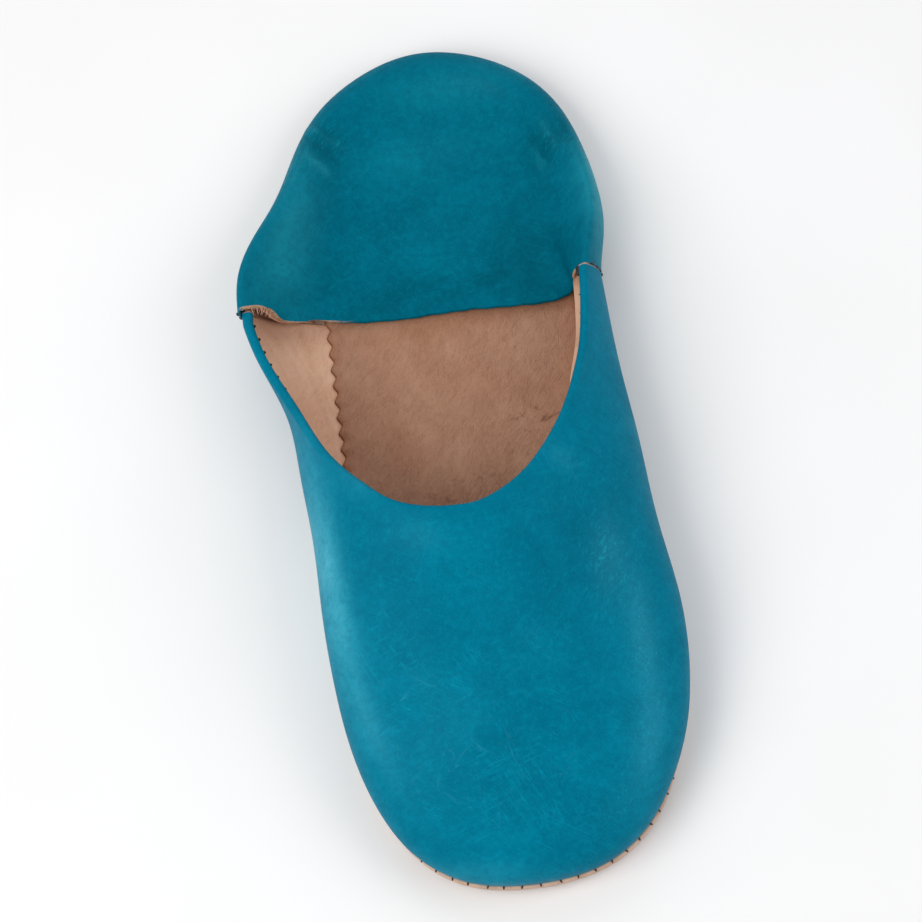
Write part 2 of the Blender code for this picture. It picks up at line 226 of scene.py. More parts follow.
@dataclass(frozen=True)
class Fold:
    """A soft crease: a ridge (positive height) or a trough (negative) from start to end in plan.

    Its height fades as a bell across its width and to nothing at both ends, and bow bends its middle.
    """

    start: tuple[float, float]
    end: tuple[float, float]
    width: float
    height: float
    bow: float = 0.0

    def relief(self, points: Array) -> Array:
        """Height of the fold at each point, in metres, where the fold's own sizes are millimetres.

        Args:
            points: places (..., 3).

        Returns:
            The heights (...).
        """
        start, end = np.array(self.start) * MM, np.array(self.end) * MM
        run, offset = end - start, points[..., :2] - start
        length = np.linalg.norm(run)
        along = offset @ run / length**2
        side = np.array([-run[1], run[0]]) / length
        across = offset @ side - self.bow * MM * 4 * along * (1 - along)
        taper = smooth(along / 0.35) * smooth((1 - along) / 0.35)
        return self.height * MM * taper * np.exp(-((across / (self.width * MM)) ** 2))


@dataclass(frozen=True)
class Patch:
    """A soft oval zone in plan: its centre, half-sizes and turn, in millimetres and degrees."""

    centre: tuple[float, float]
    size: tuple[float, float]
    turn: float = 0.0
    strength: float = 1.0

    def mask(self, points: Array) -> Array:
        """The zone's strength at each point, a bell of the distance from its centre in half-sizes.

        Args:
            points: places (..., 3).

        Returns:
            The strengths (...).
        """
        angle = math.radians(self.turn)
        offset = points[..., :2] - np.array(self.centre) * MM
        along = offset @ np.array([math.cos(angle), math.sin(angle)]) / (self.size[0] * MM)
        across = offset @ np.array([-math.sin(angle), math.cos(angle)]) / (self.size[1] * MM)
        return self.strength * np.exp(-(along**2) - across**2)


def painted(points: Array, patches: tuple[Patch, ...]) -> Array:
    """The sum of several patches at each point, clamped to 0 to 1."""
    return np.clip(sum(patch.mask(points) for patch in patches), 0.0, 1.0)


def creased(points: Array, folds: tuple[Fold, ...]) -> Array:
    """The summed relief of several folds at each point."""
    return sum(fold.relief(points) for fold in folds)


def crease_shade_and_highlight(points: Array, folds: tuple[Fold, ...]) -> tuple[Array, Array]:
    """Painted shade in narrow folds' troughs and painted highlight on their ridges, for each point.

    Both come from the relief of the folds under 3 mm wide: the troughs from its negative part, and the
    ridges, at half strength, from its positive one.
    """
    share = creased(points, tuple(fold for fold in folds if fold.width < 3)) / (0.5 * MM)
    return np.maximum(-share, 0.0), np.maximum(share, 0.0) * 0.5


@dataclass
class Last:
    """The slipper's sizes, its sole's outline and the heights at which pieces stand.

    The sole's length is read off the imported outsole, and the other sizes are the maker's.
    """

    sole_length: float
    ball_width: float = 94.4 * MM
    sole_thickness: float = 3.5 * MM
    insole_thickness: float = 1.5 * MM
    heel_width: float = 79.5 * MM
    toe_spring: float = 3.5 * MM
    instep_height: float = 42.0 * MM
    seam_height: float = 22.8 * MM
    heel_fold_height: float = 8.4 * MM
    vamp_length: float = 100.5 * MM
    lateral_flare: float = 16.5 * MM
    clearance: float = 0.3 * MM
    feather_inset: float = 1.2 * MM
    feather_rise: float = 1.0 * MM
    seam_step: float = 0.8 * MM
    seam_share: float = 0.302
    spring_share: float = 0.72
    samples: int = 1440

    OUTLINE = (
        (0.000, 0.000, "heel"),
        (0.045, -0.352, "heel"),
        (0.150, -0.505, "heel"),
        (0.370, -0.465, "ball"),
        (0.665, -0.474, "ball"),
        (0.856, -0.432, "ball"),
        (0.937, -0.348, "ball"),
        (0.984, -0.205, "ball"),
        (1.000, 0.035, "ball"),
        (0.986, 0.235, "ball"),
        (0.944, 0.383, "ball"),
        (0.862, 0.493, "ball"),
        (0.760, 0.526, "ball"),
        (0.485, 0.453, "ball"),
        (0.310, 0.423, "ball"),
        (0.150, 0.500, "heel"),
        (0.045, 0.352, "heel"),
    )

    def __post_init__(self) -> None:
        """Works out the closed outline: a spline through the table's rows, run past its own ends."""
        widths = {"heel": self.heel_width, "ball": self.ball_width}
        corners = np.array(
            [(across * widths[of], self.length_place(along)) for along, across, of in self.OUTLINE]
        )
        overlap, knot_power = 3, 0.75
        looped = np.vstack([corners[-overlap:], corners, corners[: overlap + 1]])
        knots = arc_length(looped[None], knot_power)
        at = spaced(knots[0, overlap], knots[0, overlap + len(corners)], self.samples + 1)
        self.rim = natural_spline(knots, looped[None], at[None])[0]
        self.distance = arc_length(self.rim[None])[0]
        tangent = np.roll(self.rim[:-1], -1, axis=0) - np.roll(self.rim[:-1], 1, axis=0)
        tangent = unit(np.vstack([tangent, tangent[:1]]))
        self.normals = np.stack([tangent[:, 1], -tangent[:, 0]], axis=1)

    def length_place(self, along: float) -> float:
        """Y of a share of the sole's length, counted from the back of the heel."""
        return self.sole_length * (0.5 - along)

    def ground_rise(self, y: Array) -> Array:
        """Height of the sole's underside: nothing up to the ball, then a parabola to the toe spring.

        Args:
            y: places along the slipper.

        Returns:
            The heights there.
        """
        along = 0.5 - y / self.sole_length
        share = np.clip((along - self.spring_share) / (1 - self.spring_share), 0, 1)
        return self.toe_spring * share**2

    def foot_height(self, y: Array) -> Array:
        """Height at which the upper stands on the sole."""
        return self.ground_rise(y) + self.sole_thickness + self.clearance

    def stood(self, foot: Array, curve: Array) -> Array:
        """Ribs carried on straight down from their foot to a skin gap over the sole."""
        return np.concatenate([(foot - UP * (self.clearance - SKIN_GAP))[:, None], curve], axis=1)

    def insole_low(self) -> float:
        """Height of the insole's underside above the ground rise."""
        return self.sole_thickness + self.clearance

    def lying_height(self, wall: float) -> float:
        """Height of the flap's upper face where a wall of this thickness lies on the insole."""
        return self.insole_low() + self.insole_thickness + self.clearance + wall

    def seams(self) -> tuple[float, float]:
        """Distances round the outline at which it passes the side seams, lateral then medial."""
        ahead = np.flatnonzero(self.rim[:, 1] <= self.length_place(self.seam_share))
        return float(self.distance[ahead[0]]), float(self.distance[ahead[-1]])

    def at(self, distance: Array) -> tuple[Array, Array]:
        """Points and outward normals of the outline at distances round it (each (places, 2)).

        Args:
            distance: distances round from the outline's start.

        Returns:
            The points and the normals.
        """
        where = np.mod(distance, self.distance[-1])
        both = np.hstack([self.rim, self.normals])
        found = np.stack([np.interp(where, self.distance, column) for column in both.T], axis=1)
        return found[:, :2], unit(found[:, 2:])


@dataclass
class Wall:
    """A leather wall's outer face as dense ribs, each a curve from the feather edge to the free edge."""

    ribs: Array
    facing: float = 1.0
    folds: tuple[Fold, ...] = ()
    wave_height: float = 0.0
    wave_length: float = 40 * MM
    seed: int = 0
    inset: Array | float = 0.0
    relief_fade: float = 10 * MM
    inset_fade: float = 4 * MM

    def __post_init__(self) -> None:
        """Adds the creases along the normals, and keeps the points with their normals and lengths."""
        normals = face_normals(self.ribs, self.facing)
        relief = self.wave_height * undulation(self.ribs, self.wave_length, self.seed)
        if self.folds:
            relief = relief + creased(self.ribs, self.folds)
        height = arc_length(self.ribs)
        relief = relief * smooth(height / self.relief_fade)
        sunk = np.broadcast_to(self.inset, len(self.ribs))[:, None] * smooth(height / self.inset_fade)
        self.ribs = self.ribs + normals * (relief - sunk)[..., None]
        self.both = np.concatenate([self.ribs, face_normals(self.ribs, self.facing)], axis=2)
        self.length = arc_length(self.ribs)[:, -1]

    def place(self, distance: Array, offset: Array | float) -> Array:
        """Points off the wall's outer face.

        Args:
            distance: distance up each rib (ribs, places).
            offset: distance out along the normal, negative inwards: (ribs, places), (places) or one.

        Returns:
            Points (ribs, places, 3).
        """
        found = resample(self.both, distance)
        offset = np.broadcast_to(offset, distance.shape)[..., None]
        return found[..., :3] + unit(found[..., 3:]) * offset


def finished(name: str, mesh: Mesh, material: Material, slot: Slot, *nodes: str) -> Object:
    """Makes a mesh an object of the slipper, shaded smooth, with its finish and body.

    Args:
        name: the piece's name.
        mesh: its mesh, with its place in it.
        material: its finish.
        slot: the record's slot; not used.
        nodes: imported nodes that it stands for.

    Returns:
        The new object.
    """
    mesh.materials.append(material)
    mesh.shade_smooth()
    mesh.set_sharp_from_angle(angle=SHARP_ANGLE)
    piece = bpy.data.objects.new(name, mesh)
    bpy.context.scene.collection.objects.link(piece)
    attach(piece, "root")
    if nodes:
        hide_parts(*nodes)
    LOG.info("%s: %d faces", name, len(mesh.polygons))
    return piece


def spaced(start: float, end: float, count: int) -> Array:
    """Evenly spaced values, both ends included."""
    return np.linspace(start, end, count)


def turned_rows(
    length: Array, half: float, count: int, start: bool = True, end: bool = True
) -> tuple[Array, Array]:
    """Rows of a sheet along a length, packed at its borders so that these can be rounded.

    Near a border the rows lie at half (1 - cos a) for a few angles a, where the sheet is sin a as thick.

    Args:
        length: the length to cover, one for each line of the sheet (lines).
        half: half the sheet's thickness, the radius of the rounding.
        count: rows between the borders.
        start, end: which borders are rounded.

    Returns:
        Distances (lines, rows) and the sheet's fullness at each row, 0 to 1 (rows).
    """
    near = half * (1 - np.cos(EDGE_TURN))
    full = np.sin(EDGE_TURN)
    length = np.atleast_1d(length)[:, None]
    share = spaced(0, 1, count)[None]
    first, last = (half if start else 0.0), length - (half if end else 0.0)
    rows, fullness = [first + share * (last - first)], [np.ones(count)]
    if start:
        rows.insert(0, np.broadcast_to(near, (len(length), len(near))))
        fullness.insert(0, full)
    if end:
        rows.append(length - near[::-1])
        fullness.append(full[::-1])
    return np.concatenate(rows, axis=1), np.concatenate(fullness)


def cut_mask(fullness: Array) -> Array:
    """How far each row lies on the cut border: 1 where the sheet is thinner than it is full, else 0."""
    return (fullness < 0.999).astype(float)


@dataclass
class Sheet:
    """A leather sheet: a grid of points for its face, a thickness behind it and rounded borders."""

    name: str
    face: Array
    thickness: Array | float
    facing: float = 1.0
    full_across: Array | float = 1.0
    full_along: Array | float = 1.0
    values: dict[str, Array] = field(default_factory=dict)

    def layers(self) -> tuple[Array, Array]:
        """The sheet's two faces: its middle, out and in by half its thickness times its fullness.

        Returns:
            The outer face's points and the inner face's (lines, rows, 3).
        """
        normals = face_normals(self.face, self.facing)
        lines, rows = self.face.shape[:2]
        across = np.broadcast_to(self.full_across, lines)[:, None]
        along = np.broadcast_to(self.full_along, rows)[None]
        half = np.broadcast_to(self.thickness, (lines, rows))[..., None] / 2
        middle = self.face - normals * half
        spread = normals * half * (across * along)[..., None]
        return middle + spread, middle - spread

    def build(self, material: Material, slot: Slot, *nodes: str) -> Object:
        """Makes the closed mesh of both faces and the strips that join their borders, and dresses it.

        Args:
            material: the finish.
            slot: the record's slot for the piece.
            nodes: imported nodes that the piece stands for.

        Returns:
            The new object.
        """
        top, bottom = self.layers()
        lines, rows = top.shape[:2]
        upper = np.arange(lines * rows).reshape(lines, rows)
        lower = upper + lines * rows
        faces = [grid_quads(upper), grid_quads(lower)[:, ::-1]]
        for index in ((slice(None), 0), (slice(None), -1), (0, slice(None)), (-1, slice(None))):
            flip = index[1] == 0 or index[0] == -1
            border = grid_quads(np.stack([upper[index], lower[index]], axis=1))
            faces.append(border[:, ::-1] if flip else border)
        quads = np.concatenate(faces)
        if self.facing < 0:
            quads = quads[:, ::-1]
        points = np.concatenate([top.reshape(-1, 3), bottom.reshape(-1, 3)])
        mesh = bpy.data.meshes.new(self.name)
        mesh.from_pydata(points.tolist(), [], quads.tolist())
        for name, value in self.values.items():
            flat = np.broadcast_to(value, (lines, rows)).ravel()
            write_value(mesh, name, np.concatenate([flat, flat]))
        return finished(self.name, mesh, material, slot, *nodes)


def grid_quads(index: Array) -> Array:
    """Quads over a grid of vertex numbers, which face along its two directions' cross product."""
    corners = (index[:-1, :-1], index[1:, :-1], index[1:, 1:], index[:-1, 1:])
    return np.stack(corners, axis=-1).reshape(-1, 4)


def write_value(mesh: Mesh, name: str, value: Array) -> None:
    """Stores a number for each vertex under a name that the shaders read."""
    layer = mesh.attributes.new(name, "FLOAT", "POINT")
    layer.data.foreach_set("value", np.ascontiguousarray(value, np.float32))


def threads(
    name: str, paths: Array, up: Array, radius: Array, material: Material, slot: Slot
) -> Object:
    """Short threads as one mesh: each a tube of a few sides along its path, closed at both ends.

    A tube's ring is a circle about its path, in the plane of the side and the up direction there.

    Args:
        name: the piece's name.
        paths: points of each thread (threads, points, 3).
        up: a direction away from the leather for each thread (threads, 3).
        radius: the tube's radius at each point of the path (points).
        material: the finish.
        slot: the record's slot.

    Returns:
        The new object.
    """
    along = unit(np.gradient(paths, axis=1))
    side = unit(np.cross(along, up[:, None]))
    over = np.cross(side, along)
    angle = np.arange(TUBE_SIDES) * 2 * math.pi / TUBE_SIDES
    ring = side[:, :, None] * np.cos(angle)[:, None] + over[:, :, None] * np.sin(angle)[:, None]
    points = paths[:, :, None] + ring * radius[None, :, None, None]
    count, steps = paths.shape[:2]
    index = np.arange(points.size // 3).reshape(count, steps, TUBE_SIDES)
    index = np.concatenate([index, index[:, :, :1]], axis=2)
    quads = np.concatenate([grid_quads(one) for one in index])
    caps = np.concatenate([index[:, 0, :-1], index[:, -1, :-1][:, ::-1]])
    mesh = bpy.data.meshes.new(name)
    mesh.from_pydata(points.reshape(-1, 3).tolist(), [], quads.tolist() + caps.tolist())
    return finished(name, mesh, material, slot)


@dataclass
class VampForm:
    """The vamp's outer face: a rib for each place round the toe, from the feather edge to the throat.

    The table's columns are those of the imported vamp. The throat's edge stands at top_across (share of
    the ball width), top_flare (share of the lateral flare), top_along (0 at the throat's lowest point, 1
    at the side seams) and top_rise (0 at the seam's height, 1 at the instep's). Each rib is a cubic
    Bezier curve whose handles stand off the feather edge by out_1 and up_1, and off the throat by in_2
    (share of the rib's plan length), out_2 and down_2, as shares of the instep's height.
    """

    last: Last
    toe_forward: float = 0.75 * MM
    tuck: float = 1.0 * MM
    tuck_length: float = 5 * MM
    samples: int = 220

    COLUMNS = (
        "reach", "top_across", "top_flare", "top_along", "top_rise",
        "out_1", "up_1", "in_2", "out_2", "down_2",
    )
    TABLE = (
        (0.00, -0.470, 1.00, 0.988, -0.05, 0.27, 0.08, 0.00, 0.01, 0.22),
        (0.04, -0.468, 0.79, 0.773, 0.12, 0.27, 0.13, 0.00, 0.02, 0.22),
        (0.09, -0.450, 0.41, 0.535, 0.29, 0.23, 0.22, 0.00, 0.04, 0.24),
        (0.14, -0.423, 0.12, 0.337, 0.47, 0.25, 0.37, 0.10, 0.12, 0.20),
        (0.20, -0.350, 0.00, 0.192, 0.67, 0.27, 0.50, 0.28, 0.13, 0.13),
        (0.28, -0.260, 0.00, 0.082, 0.83, 0.32, 0.53, 0.46, 0.06, 0.20),
        (0.38, -0.159, 0.00, 0.021, 0.95, 0.25, 0.46, 0.52, 0.02, 0.31),
        (0.50, -0.053, 0.00, 0.000, 1.00, 0.08, 0.39, 0.53, 0.00, 0.38),
        (0.62, 0.051, 0.00, 0.024, 0.98, 0.20, 0.46, 0.52, 0.02, 0.34),
        (0.70, 0.143, 0.00, 0.099, 0.87, 0.37, 0.51, 0.46, 0.05, 0.24),
        (0.78, 0.228, 0.00, 0.218, 0.73, 0.33, 0.51, 0.32, 0.11, 0.15),
        (0.86, 0.313, 0.00, 0.383, 0.57, 0.32, 0.41, 0.14, 0.16, 0.17),
        (0.92, 0.365, 0.00, 0.542, 0.41, 0.30, 0.28, 0.02, 0.18, 0.20),
        (0.96, 0.393, 0.00, 0.694, 0.26, 0.25, 0.19, 0.00, 0.18, 0.18),
        (1.00, 0.418, 0.00, 0.975, 0.03, 0.18, 0.11, 0.00, 0.15, 0.16),
    )

    def span(self) -> float:
        """Length of the feather edge from the lateral side seam round the toe to the medial one."""
        lateral, medial = self.last.seams()
        return medial - lateral

    def ribs(self, reach: Array) -> Array:
        """Dense points of the ribs at these reaches, 0 to 1 (ribs, samples, 3).

        Close to the lateral side seam the top is tucked down a little, under the quarter's lap.

        Args:
            reach: places along the feather edge, 0 to 1.

        Returns:
            Points from the foot up.
        """
        last = self.last
        lateral, medial = last.seams()
        edge, normal = last.at(lateral + reach * (medial - lateral))
        row = read_table(self.COLUMNS, self.TABLE, reach)
        throat_y = last.length_place(1) + last.vamp_length
        seam_y = last.length_place(last.seam_share)
        across = row["top_across"] * last.ball_width - row["top_flare"] * last.lateral_flare
        along = throat_y + row["top_along"] * (seam_y - throat_y)
        rise = last.seam_height + row["top_rise"] * (last.instep_height - last.seam_height)
        tucked = 1 - smooth(reach * self.span() / self.tuck_length)
        height = last.sole_thickness + rise - self.tuck * tucked
        top = np.column_stack([across, along, height])
        outward = level(normal)
        inset = last.feather_inset - self.toe_forward * smooth((-normal[:, 1] - 0.1) / 0.6)
        foot = np.column_stack([edge - normal * inset[:, None], last.foot_height(edge[:, 1])])
        raised = foot + UP * last.feather_rise
        size = last.instep_height
        handle_1 = raised + outward * (row["out_1"] * size)[:, None] + UP * (row["up_1"] * size)[:, None]
        handle_2 = top + (foot - top) * (1, 1, 0) * row["in_2"][:, None]
        handle_2 += outward * (row["out_2"] * size)[:, None] - UP * (row["down_2"] * size)[:, None]
        t = spaced(0, 1, self.samples)[None, :, None]
        start, one, two, end = (handle[:, None] for handle in (raised, handle_1, handle_2, top))
        curve = (1 - t) ** 3 * start + 3 * (1 - t) ** 2 * t * one + 3 * (1 - t) * t**2 * two + t**3 * end
        return last.stood(foot, curve)


@dataclass
class QuarterForm:
    """The quarter's dyed face: a rib for each place round the heel, over the fold and along the flap.

    The table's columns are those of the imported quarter. flare is the share of the lateral flare that the
    rib leans out by. The side and the fold stand off the sole's edge by side_out and fold_out, and lift
    says how far the fold stands from the heel fold's height up to the seam's. The shoulder (in_3, down_3)
    and the touch-down (out_4, high_4) lead down to the flap, and edge_across is where it ends. Plan
    offsets are shares of the heel width, and down_3 and high_4 of the seam's height.
    """

    last: Last
    wall: float = 1.8 * MM
    knot_power: float = 0.5
    settle: float = 0.25 * MM
    samples: int = 420

    COLUMNS = (
        "reach", "flare", "side_out", "side_up", "fold_out", "lift", "in_3", "down_3", "out_4", "high_4",
        "edge_across",
    )
    TABLE = (
        (0.00, 1.00, -0.036, 0.38, 0.008, 1.00, 0.066, 0.14, -0.150, 0.32, -0.478),
        (0.05, 1.00, -0.030, 0.40, 0.000, 0.88, 0.068, 0.12, -0.200, 0.22, -0.455),
        (0.10, 0.86, -0.022, 0.42, -0.015, 0.69, 0.072, 0.12, -0.220, 0.14, -0.415),
        (0.15, 0.56, -0.008, 0.45, -0.018, 0.48, 0.076, 0.10, -0.215, 0.09, -0.370),
        (0.20, 0.24, 0.024, 0.48, -0.002, 0.32, 0.080, 0.09, -0.225, 0.06, -0.320),
        (0.28, 0.04, 0.044, 0.50, 0.003, 0.13, 0.086, 0.07, -0.255, 0.03, -0.230),
        (0.37, 0.00, 0.042, 0.50, -0.004, 0.03, 0.092, 0.06, -0.290, 0.02, -0.125),
        (0.50, 0.00, 0.056, 0.50, 0.000, 0.00, 0.096, 0.05, -0.320, 0.02, 0.005),
        (0.63, 0.00, 0.051, 0.50, 0.004, 0.03, 0.092, 0.06, -0.290, 0.02, 0.130),
        (0.72, 0.00, 0.060, 0.50, 0.018, 0.12, 0.086, 0.07, -0.255, 0.03, 0.225),
        (0.80, 0.00, 0.070, 0.48, 0.038, 0.28, 0.080, 0.09, -0.200, 0.06, 0.305),
        (0.86, 0.00, 0.081, 0.46, 0.051, 0.46, 0.070, 0.11, -0.150, 0.09, 0.365),
        (0.92, 0.00, 0.087, 0.44, 0.047, 0.70, 0.060, 0.14, -0.105, 0.15, 0.412),
        (0.96, 0.00, 0.078, 0.44, 0.026, 0.88, 0.050, 0.16, -0.078, 0.24, 0.440),
        (1.00, 0.00, 0.066, 0.47, 0.006, 1.00, 0.043, 0.17, -0.058, 0.38, 0.458),
    )
    COLLAR_COLUMNS = ("across", "ahead")
    COLLAR = (
        (0.0, 0.008), (0.12, 0.026), (0.3, 0.043), (0.55, 0.046),
        (0.8, 0.062), (0.93, 0.050), (1.0, 0.024),
    )

    def ends(self) -> tuple[float, float]:
        """Distances round the outline of the quarter's two ends, lateral then medial, by the heel."""
        (lateral, medial), gap = self.last.seams(), self.last.clearance
        return lateral - gap, medial - float(self.last.distance[-1]) + gap

    def span(self) -> float:
        """Length of the feather edge from the lateral end round the heel to the medial one."""
        start, end = self.ends()
        return start - end

    def ribs(self, reach: Array) -> Array:
        """Dense points of the ribs at these reaches (ribs, samples + 1, 3).

        Each rib is a natural spline through its stations, with knots a power of the chord apart. Past
        the shoulder it never sinks under the flap's resting height, which it meets through a soft
        maximum: half the sum of both heights and the root of their difference and the settle, squared.

        Args:
            reach: places along the feather edge, 0 to 1.

        Returns:
            Points from the foot up and over.
        """
        last = self.last
        start, end = self.ends()
        edge, normal = last.at(start + reach * (end - start))
        row = read_table(self.COLUMNS, self.TABLE, reach)
        width = last.heel_width
        ahead = read_table(self.COLLAR_COLUMNS, self.COLLAR, reach)["ahead"] * width
        outward = level(normal)
        flare = row["flare"] * last.lateral_flare
        fold_height = last.heel_fold_height + row["lift"] * (last.seam_height - last.heel_fold_height)
        fold_top = last.sole_thickness + fold_height
        inset = last.feather_inset - last.seam_step
        foot = np.column_stack([edge - normal * inset, last.foot_height(edge[:, 1])])
        flat = level(edge)
        raised = foot + UP * last.feather_rise
        side = flat + outward * (row["side_out"] * width + flare)[:, None]
        side[:, 2] = foot[:, 2] + row["side_up"] * (fold_top - foot[:, 2])
        fold = flat + outward * (row["fold_out"] * width + flare)[:, None]
        fold[:, 2] = fold_top
        shoulder = fold - outward * (row["in_3"] * width)[:, None]
        shoulder[:, 2] -= row["down_3"] * last.seam_height
        lying = last.lying_height(self.wall)
        touch = flat + outward * (row["out_4"] * width + flare)[:, None]
        touch[:, 2] = lying + row["high_4"] * last.seam_height
        ends = last.at(np.array([start, end]))[0]
        seam_y = ends[0, 1] + (ends[1, 1] - ends[0, 1]) * reach
        collar = np.column_stack([row["edge_across"] * width, seam_y - ahead, lying + 0 * ahead])
        stations = np.stack([raised, side, fold, shoulder, touch, collar], axis=1)
        knots = arc_length(stations, self.knot_power)
        at = knots[:, -1:] * spaced(0, 1, self.samples)[None]
        curve = natural_spline(knots, stations, at)
        above = curve[..., 2] - lying
        soft = (above + np.sqrt(above**2 + self.settle**2)) / 2
        past = smooth((at - knots[:, 3:4]) / (0.3 * (knots[:, 4:5] - knots[:, 3:4])))
        curve[..., 2] += (lying + soft - curve[..., 2]) * past
        return last.stood(foot, curve)


@dataclass
class Vamp:
    """The dyed vamp with its turned-in throat edge, its lining and the thread that holds both."""

    form: VampForm
    leather: float = 1.1 * MM
    band_leather: float = 0.9 * MM
    rim_radius: float = 1.4 * MM
    band: float = 4.0 * MM
    medial_band: float = 2.3 * MM
    medial_from: float = 0.80
    medial_run: float = 0.10
    wave: float = 0.22 * MM
    under_lap: float = 0.75 * MM
    lap_fade: float = 5.0 * MM
    lining: float = 0.68 * MM
    lining_gap: float = 0.04 * MM
    lining_lap: float = 1.5 * MM
    least_lap: float = 1.2 * MM
    bulge: float = 4.8 * MM
    bulge_start: float = 0.4 * MM
    bulge_rise: float = 1.4 * MM
    bulge_place: float = 1.3 * MM
    bulge_reach: float = 5.0 * MM
    bulge_end: float = 1.6 * MM
    insole_edge: float = -38.0 * MM
    widest_gap: float = 2.6 * MM
    bend_room: float = 0.6 * MM
    bend_start: float = 1.3 * MM
    bend_rows: int = 6
    margin: float = 5.0 * MM
    margin_leather: float = 0.22 * MM
    margin_rows: int = 8
    shade_depth: float = 4 * MM
    stitch_pitch: float = 4.7 * MM
    stitch_stand: float = 0.6
    knot_turns: int = 4
    thread: float = 0.28 * MM

    FOLDS = (
        Fold((22, -20), (33, -48), 5.0, -0.45, 2), Fold((34, -14), (40, -44), 4.0, 0.35, -2),
        Fold((-28, -14), (-38, -42), 5.0, 0.40, 2), Fold((-20, -22), (-30, -46), 4.5, -0.35, 1),
        Fold((-12, -44), (14, -52), 9.0, -0.50, 3), Fold((-24, -66), (20, -74), 10.0, 0.35, -4),
        Fold((30, -60), (36, -92), 5.0, -0.35, 1), Fold((-6, -30), (18, -33), 3.0, 0.22, 2),
        Fold((8, -38), (30, -30), 2.2, -0.20, 2), Fold((-30, -54), (-22, -84), 6.0, -0.30, -1),
    )
    # Lighter zones: wear and scuffs, with painted highlights along the lateral side, on the medial side
    # and at the toe's tip.
    LIGHTER_ZONES = (
        Patch((-44, -34), (5, 34), 4, 0.95), Patch((-33, -10), (5, 10), 25, 0.35),
        Patch((-38, -80), (4, 16), 14, 0.3), Patch((-16, -122), (20, 3), -8, 0.3),
        Patch((34, -43), (4, 12), -8, 0.22), Patch((40, -66), (3.5, 20), -2, 0.22),
        Patch((37, -98), (4, 14), -20, 0.2), Patch((25, -14), (4, 6), 40, 0.25),
        Patch((8, -60), (10, 16), 30, 0.08), Patch((-14, -84), (14, 9), 35, 0.12),
        Patch((-16, -33), (9, 4), -20, 0.15),
    )
    DEEP = (
        Patch((18, -42), (12, 26), 0, 0.55), Patch((4, -92), (20, 16), 20, 0.6),
        Patch((24, -112), (20, 6), 28, 0.5), Patch((-20, -54), (8, 22), 10, 0.35),
        Patch((32, 4), (5, 20), 8, 0.4), Patch((-2, -66), (12, 10), 0, 0.35),
    )
    SCUFFED = (
        Patch((-6, -94), (28, 22), 0, 0.8), Patch((-30, -74), (12, 26), 12, 0.6),
        Patch((10, -60), (22, 20), 0, 0.35), Patch((26, -14), (8, 12), 0, 0.5),
    )
    CRINKLED = (
        Patch((30, -36), (16, 30), 0, 0.8), Patch((-30, -22), (10, 20), 0, 0.5),
        Patch((0, -50), (26, 14), 0, 0.35),
    )
    # Painted glints: zones on the medial side where the grain's tops are painted as light specks.
    GRAIN_GLINTS = (
        Patch((34, -42), (5, 12), -8, 1.0), Patch((40, -66), (4.5, 20), -2, 1.0),
        Patch((38, -94), (5, 12), -20, 0.9), Patch((28, -110), (9, 5), 30, 0.5),
    )
    LINING_SHADES = (Patch((-50, 47), (14, 7), 0, 0.65), Patch((38, 47), (6, 5), 0, 0.8))

    def wall(self, reach: Array) -> Wall:
        """The outer face at these reaches, with its creases and its lateral end sunk under the lap."""
        inset = self.under_lap * (1 - smooth(reach * self.form.span() / self.lap_fade))
        return Wall(self.form.ribs(reach), folds=self.FOLDS, wave_height=self.wave, seed=11, inset=inset)

    def medial_share(self, reach: Array) -> Array:
        """How far places along the rim are on the medial side, 0 to 1."""
        return smooth((reach - self.medial_from) / self.medial_run)

    def band_width(self, reach: Array) -> Array:
        """Width of the turned-in band, which narrows on the medial side."""
        return self.band + (self.medial_band - self.band) * self.medial_share(reach)

    def shell(self) -> Sheet:
        """The dyed leather: up the wall, half round the rim and down the turned-in band.

        The rim is a half circle about a point its radius inside the face and as far short of the edge.

        Returns:
            The sheet.
        """
        half = self.leather / 2
        across, full_across = turned_rows(self.form.span(), half, 286)
        wall = self.wall(across[0] / self.form.span())
        rise, full_rise = turned_rows(wall.length - self.rim_radius, half, 92, end=False)
        turn = spaced(0, math.pi, 15)[None, 1:]
        arc = wall.length[:, None] - self.rim_radius * (1 - np.sin(turn))
        width = self.band_width(across[0] / self.form.span()) - self.rim_radius
        fall, full_fall = turned_rows(width, half, 8, start=False)
        down = wall.length[:, None] - self.rim_radius - fall[:, 1:]
        distance = np.concatenate([rise, arc, down], axis=1)
        depth = [np.zeros(rise.shape[1]), self.rim_radius * (1 - np.cos(turn[0]))]
        offset = -np.concatenate([*depth, np.full(down.shape[1], 2 * self.rim_radius)])
        face = wall.place(distance, offset)
        thin = -offset / (2 * self.rim_radius)
        thickness = self.leather + (self.band_leather - self.leather) * thin
        full_along = np.concatenate([full_rise, np.ones(arc.shape[1]), full_fall[1:]])
        to_rim = np.abs(distance - wall.length[:, None] + self.rim_radius)
        values = {
            # Wear with painted highlights in it.
            "wear_and_highlight": painted(face, self.LIGHTER_ZONES),
            "deep": painted(face, self.DEEP),
            "scuffed": painted(face, self.SCUFFED),
            "crinkled": painted(face, self.CRINKLED) * smooth(to_rim / (6 * MM)),
            # Painted glints on the grain's tops.
            "grain_glint": painted(face, self.GRAIN_GLINTS),
            "raw": cut_mask(full_across)[:, None],
            "rim": 1 - smooth((to_rim - self.rim_radius) / (2.5 * MM)),
        }
        return Sheet("vamp_upper", face, thickness[None], 1.0, full_across, full_along, values)

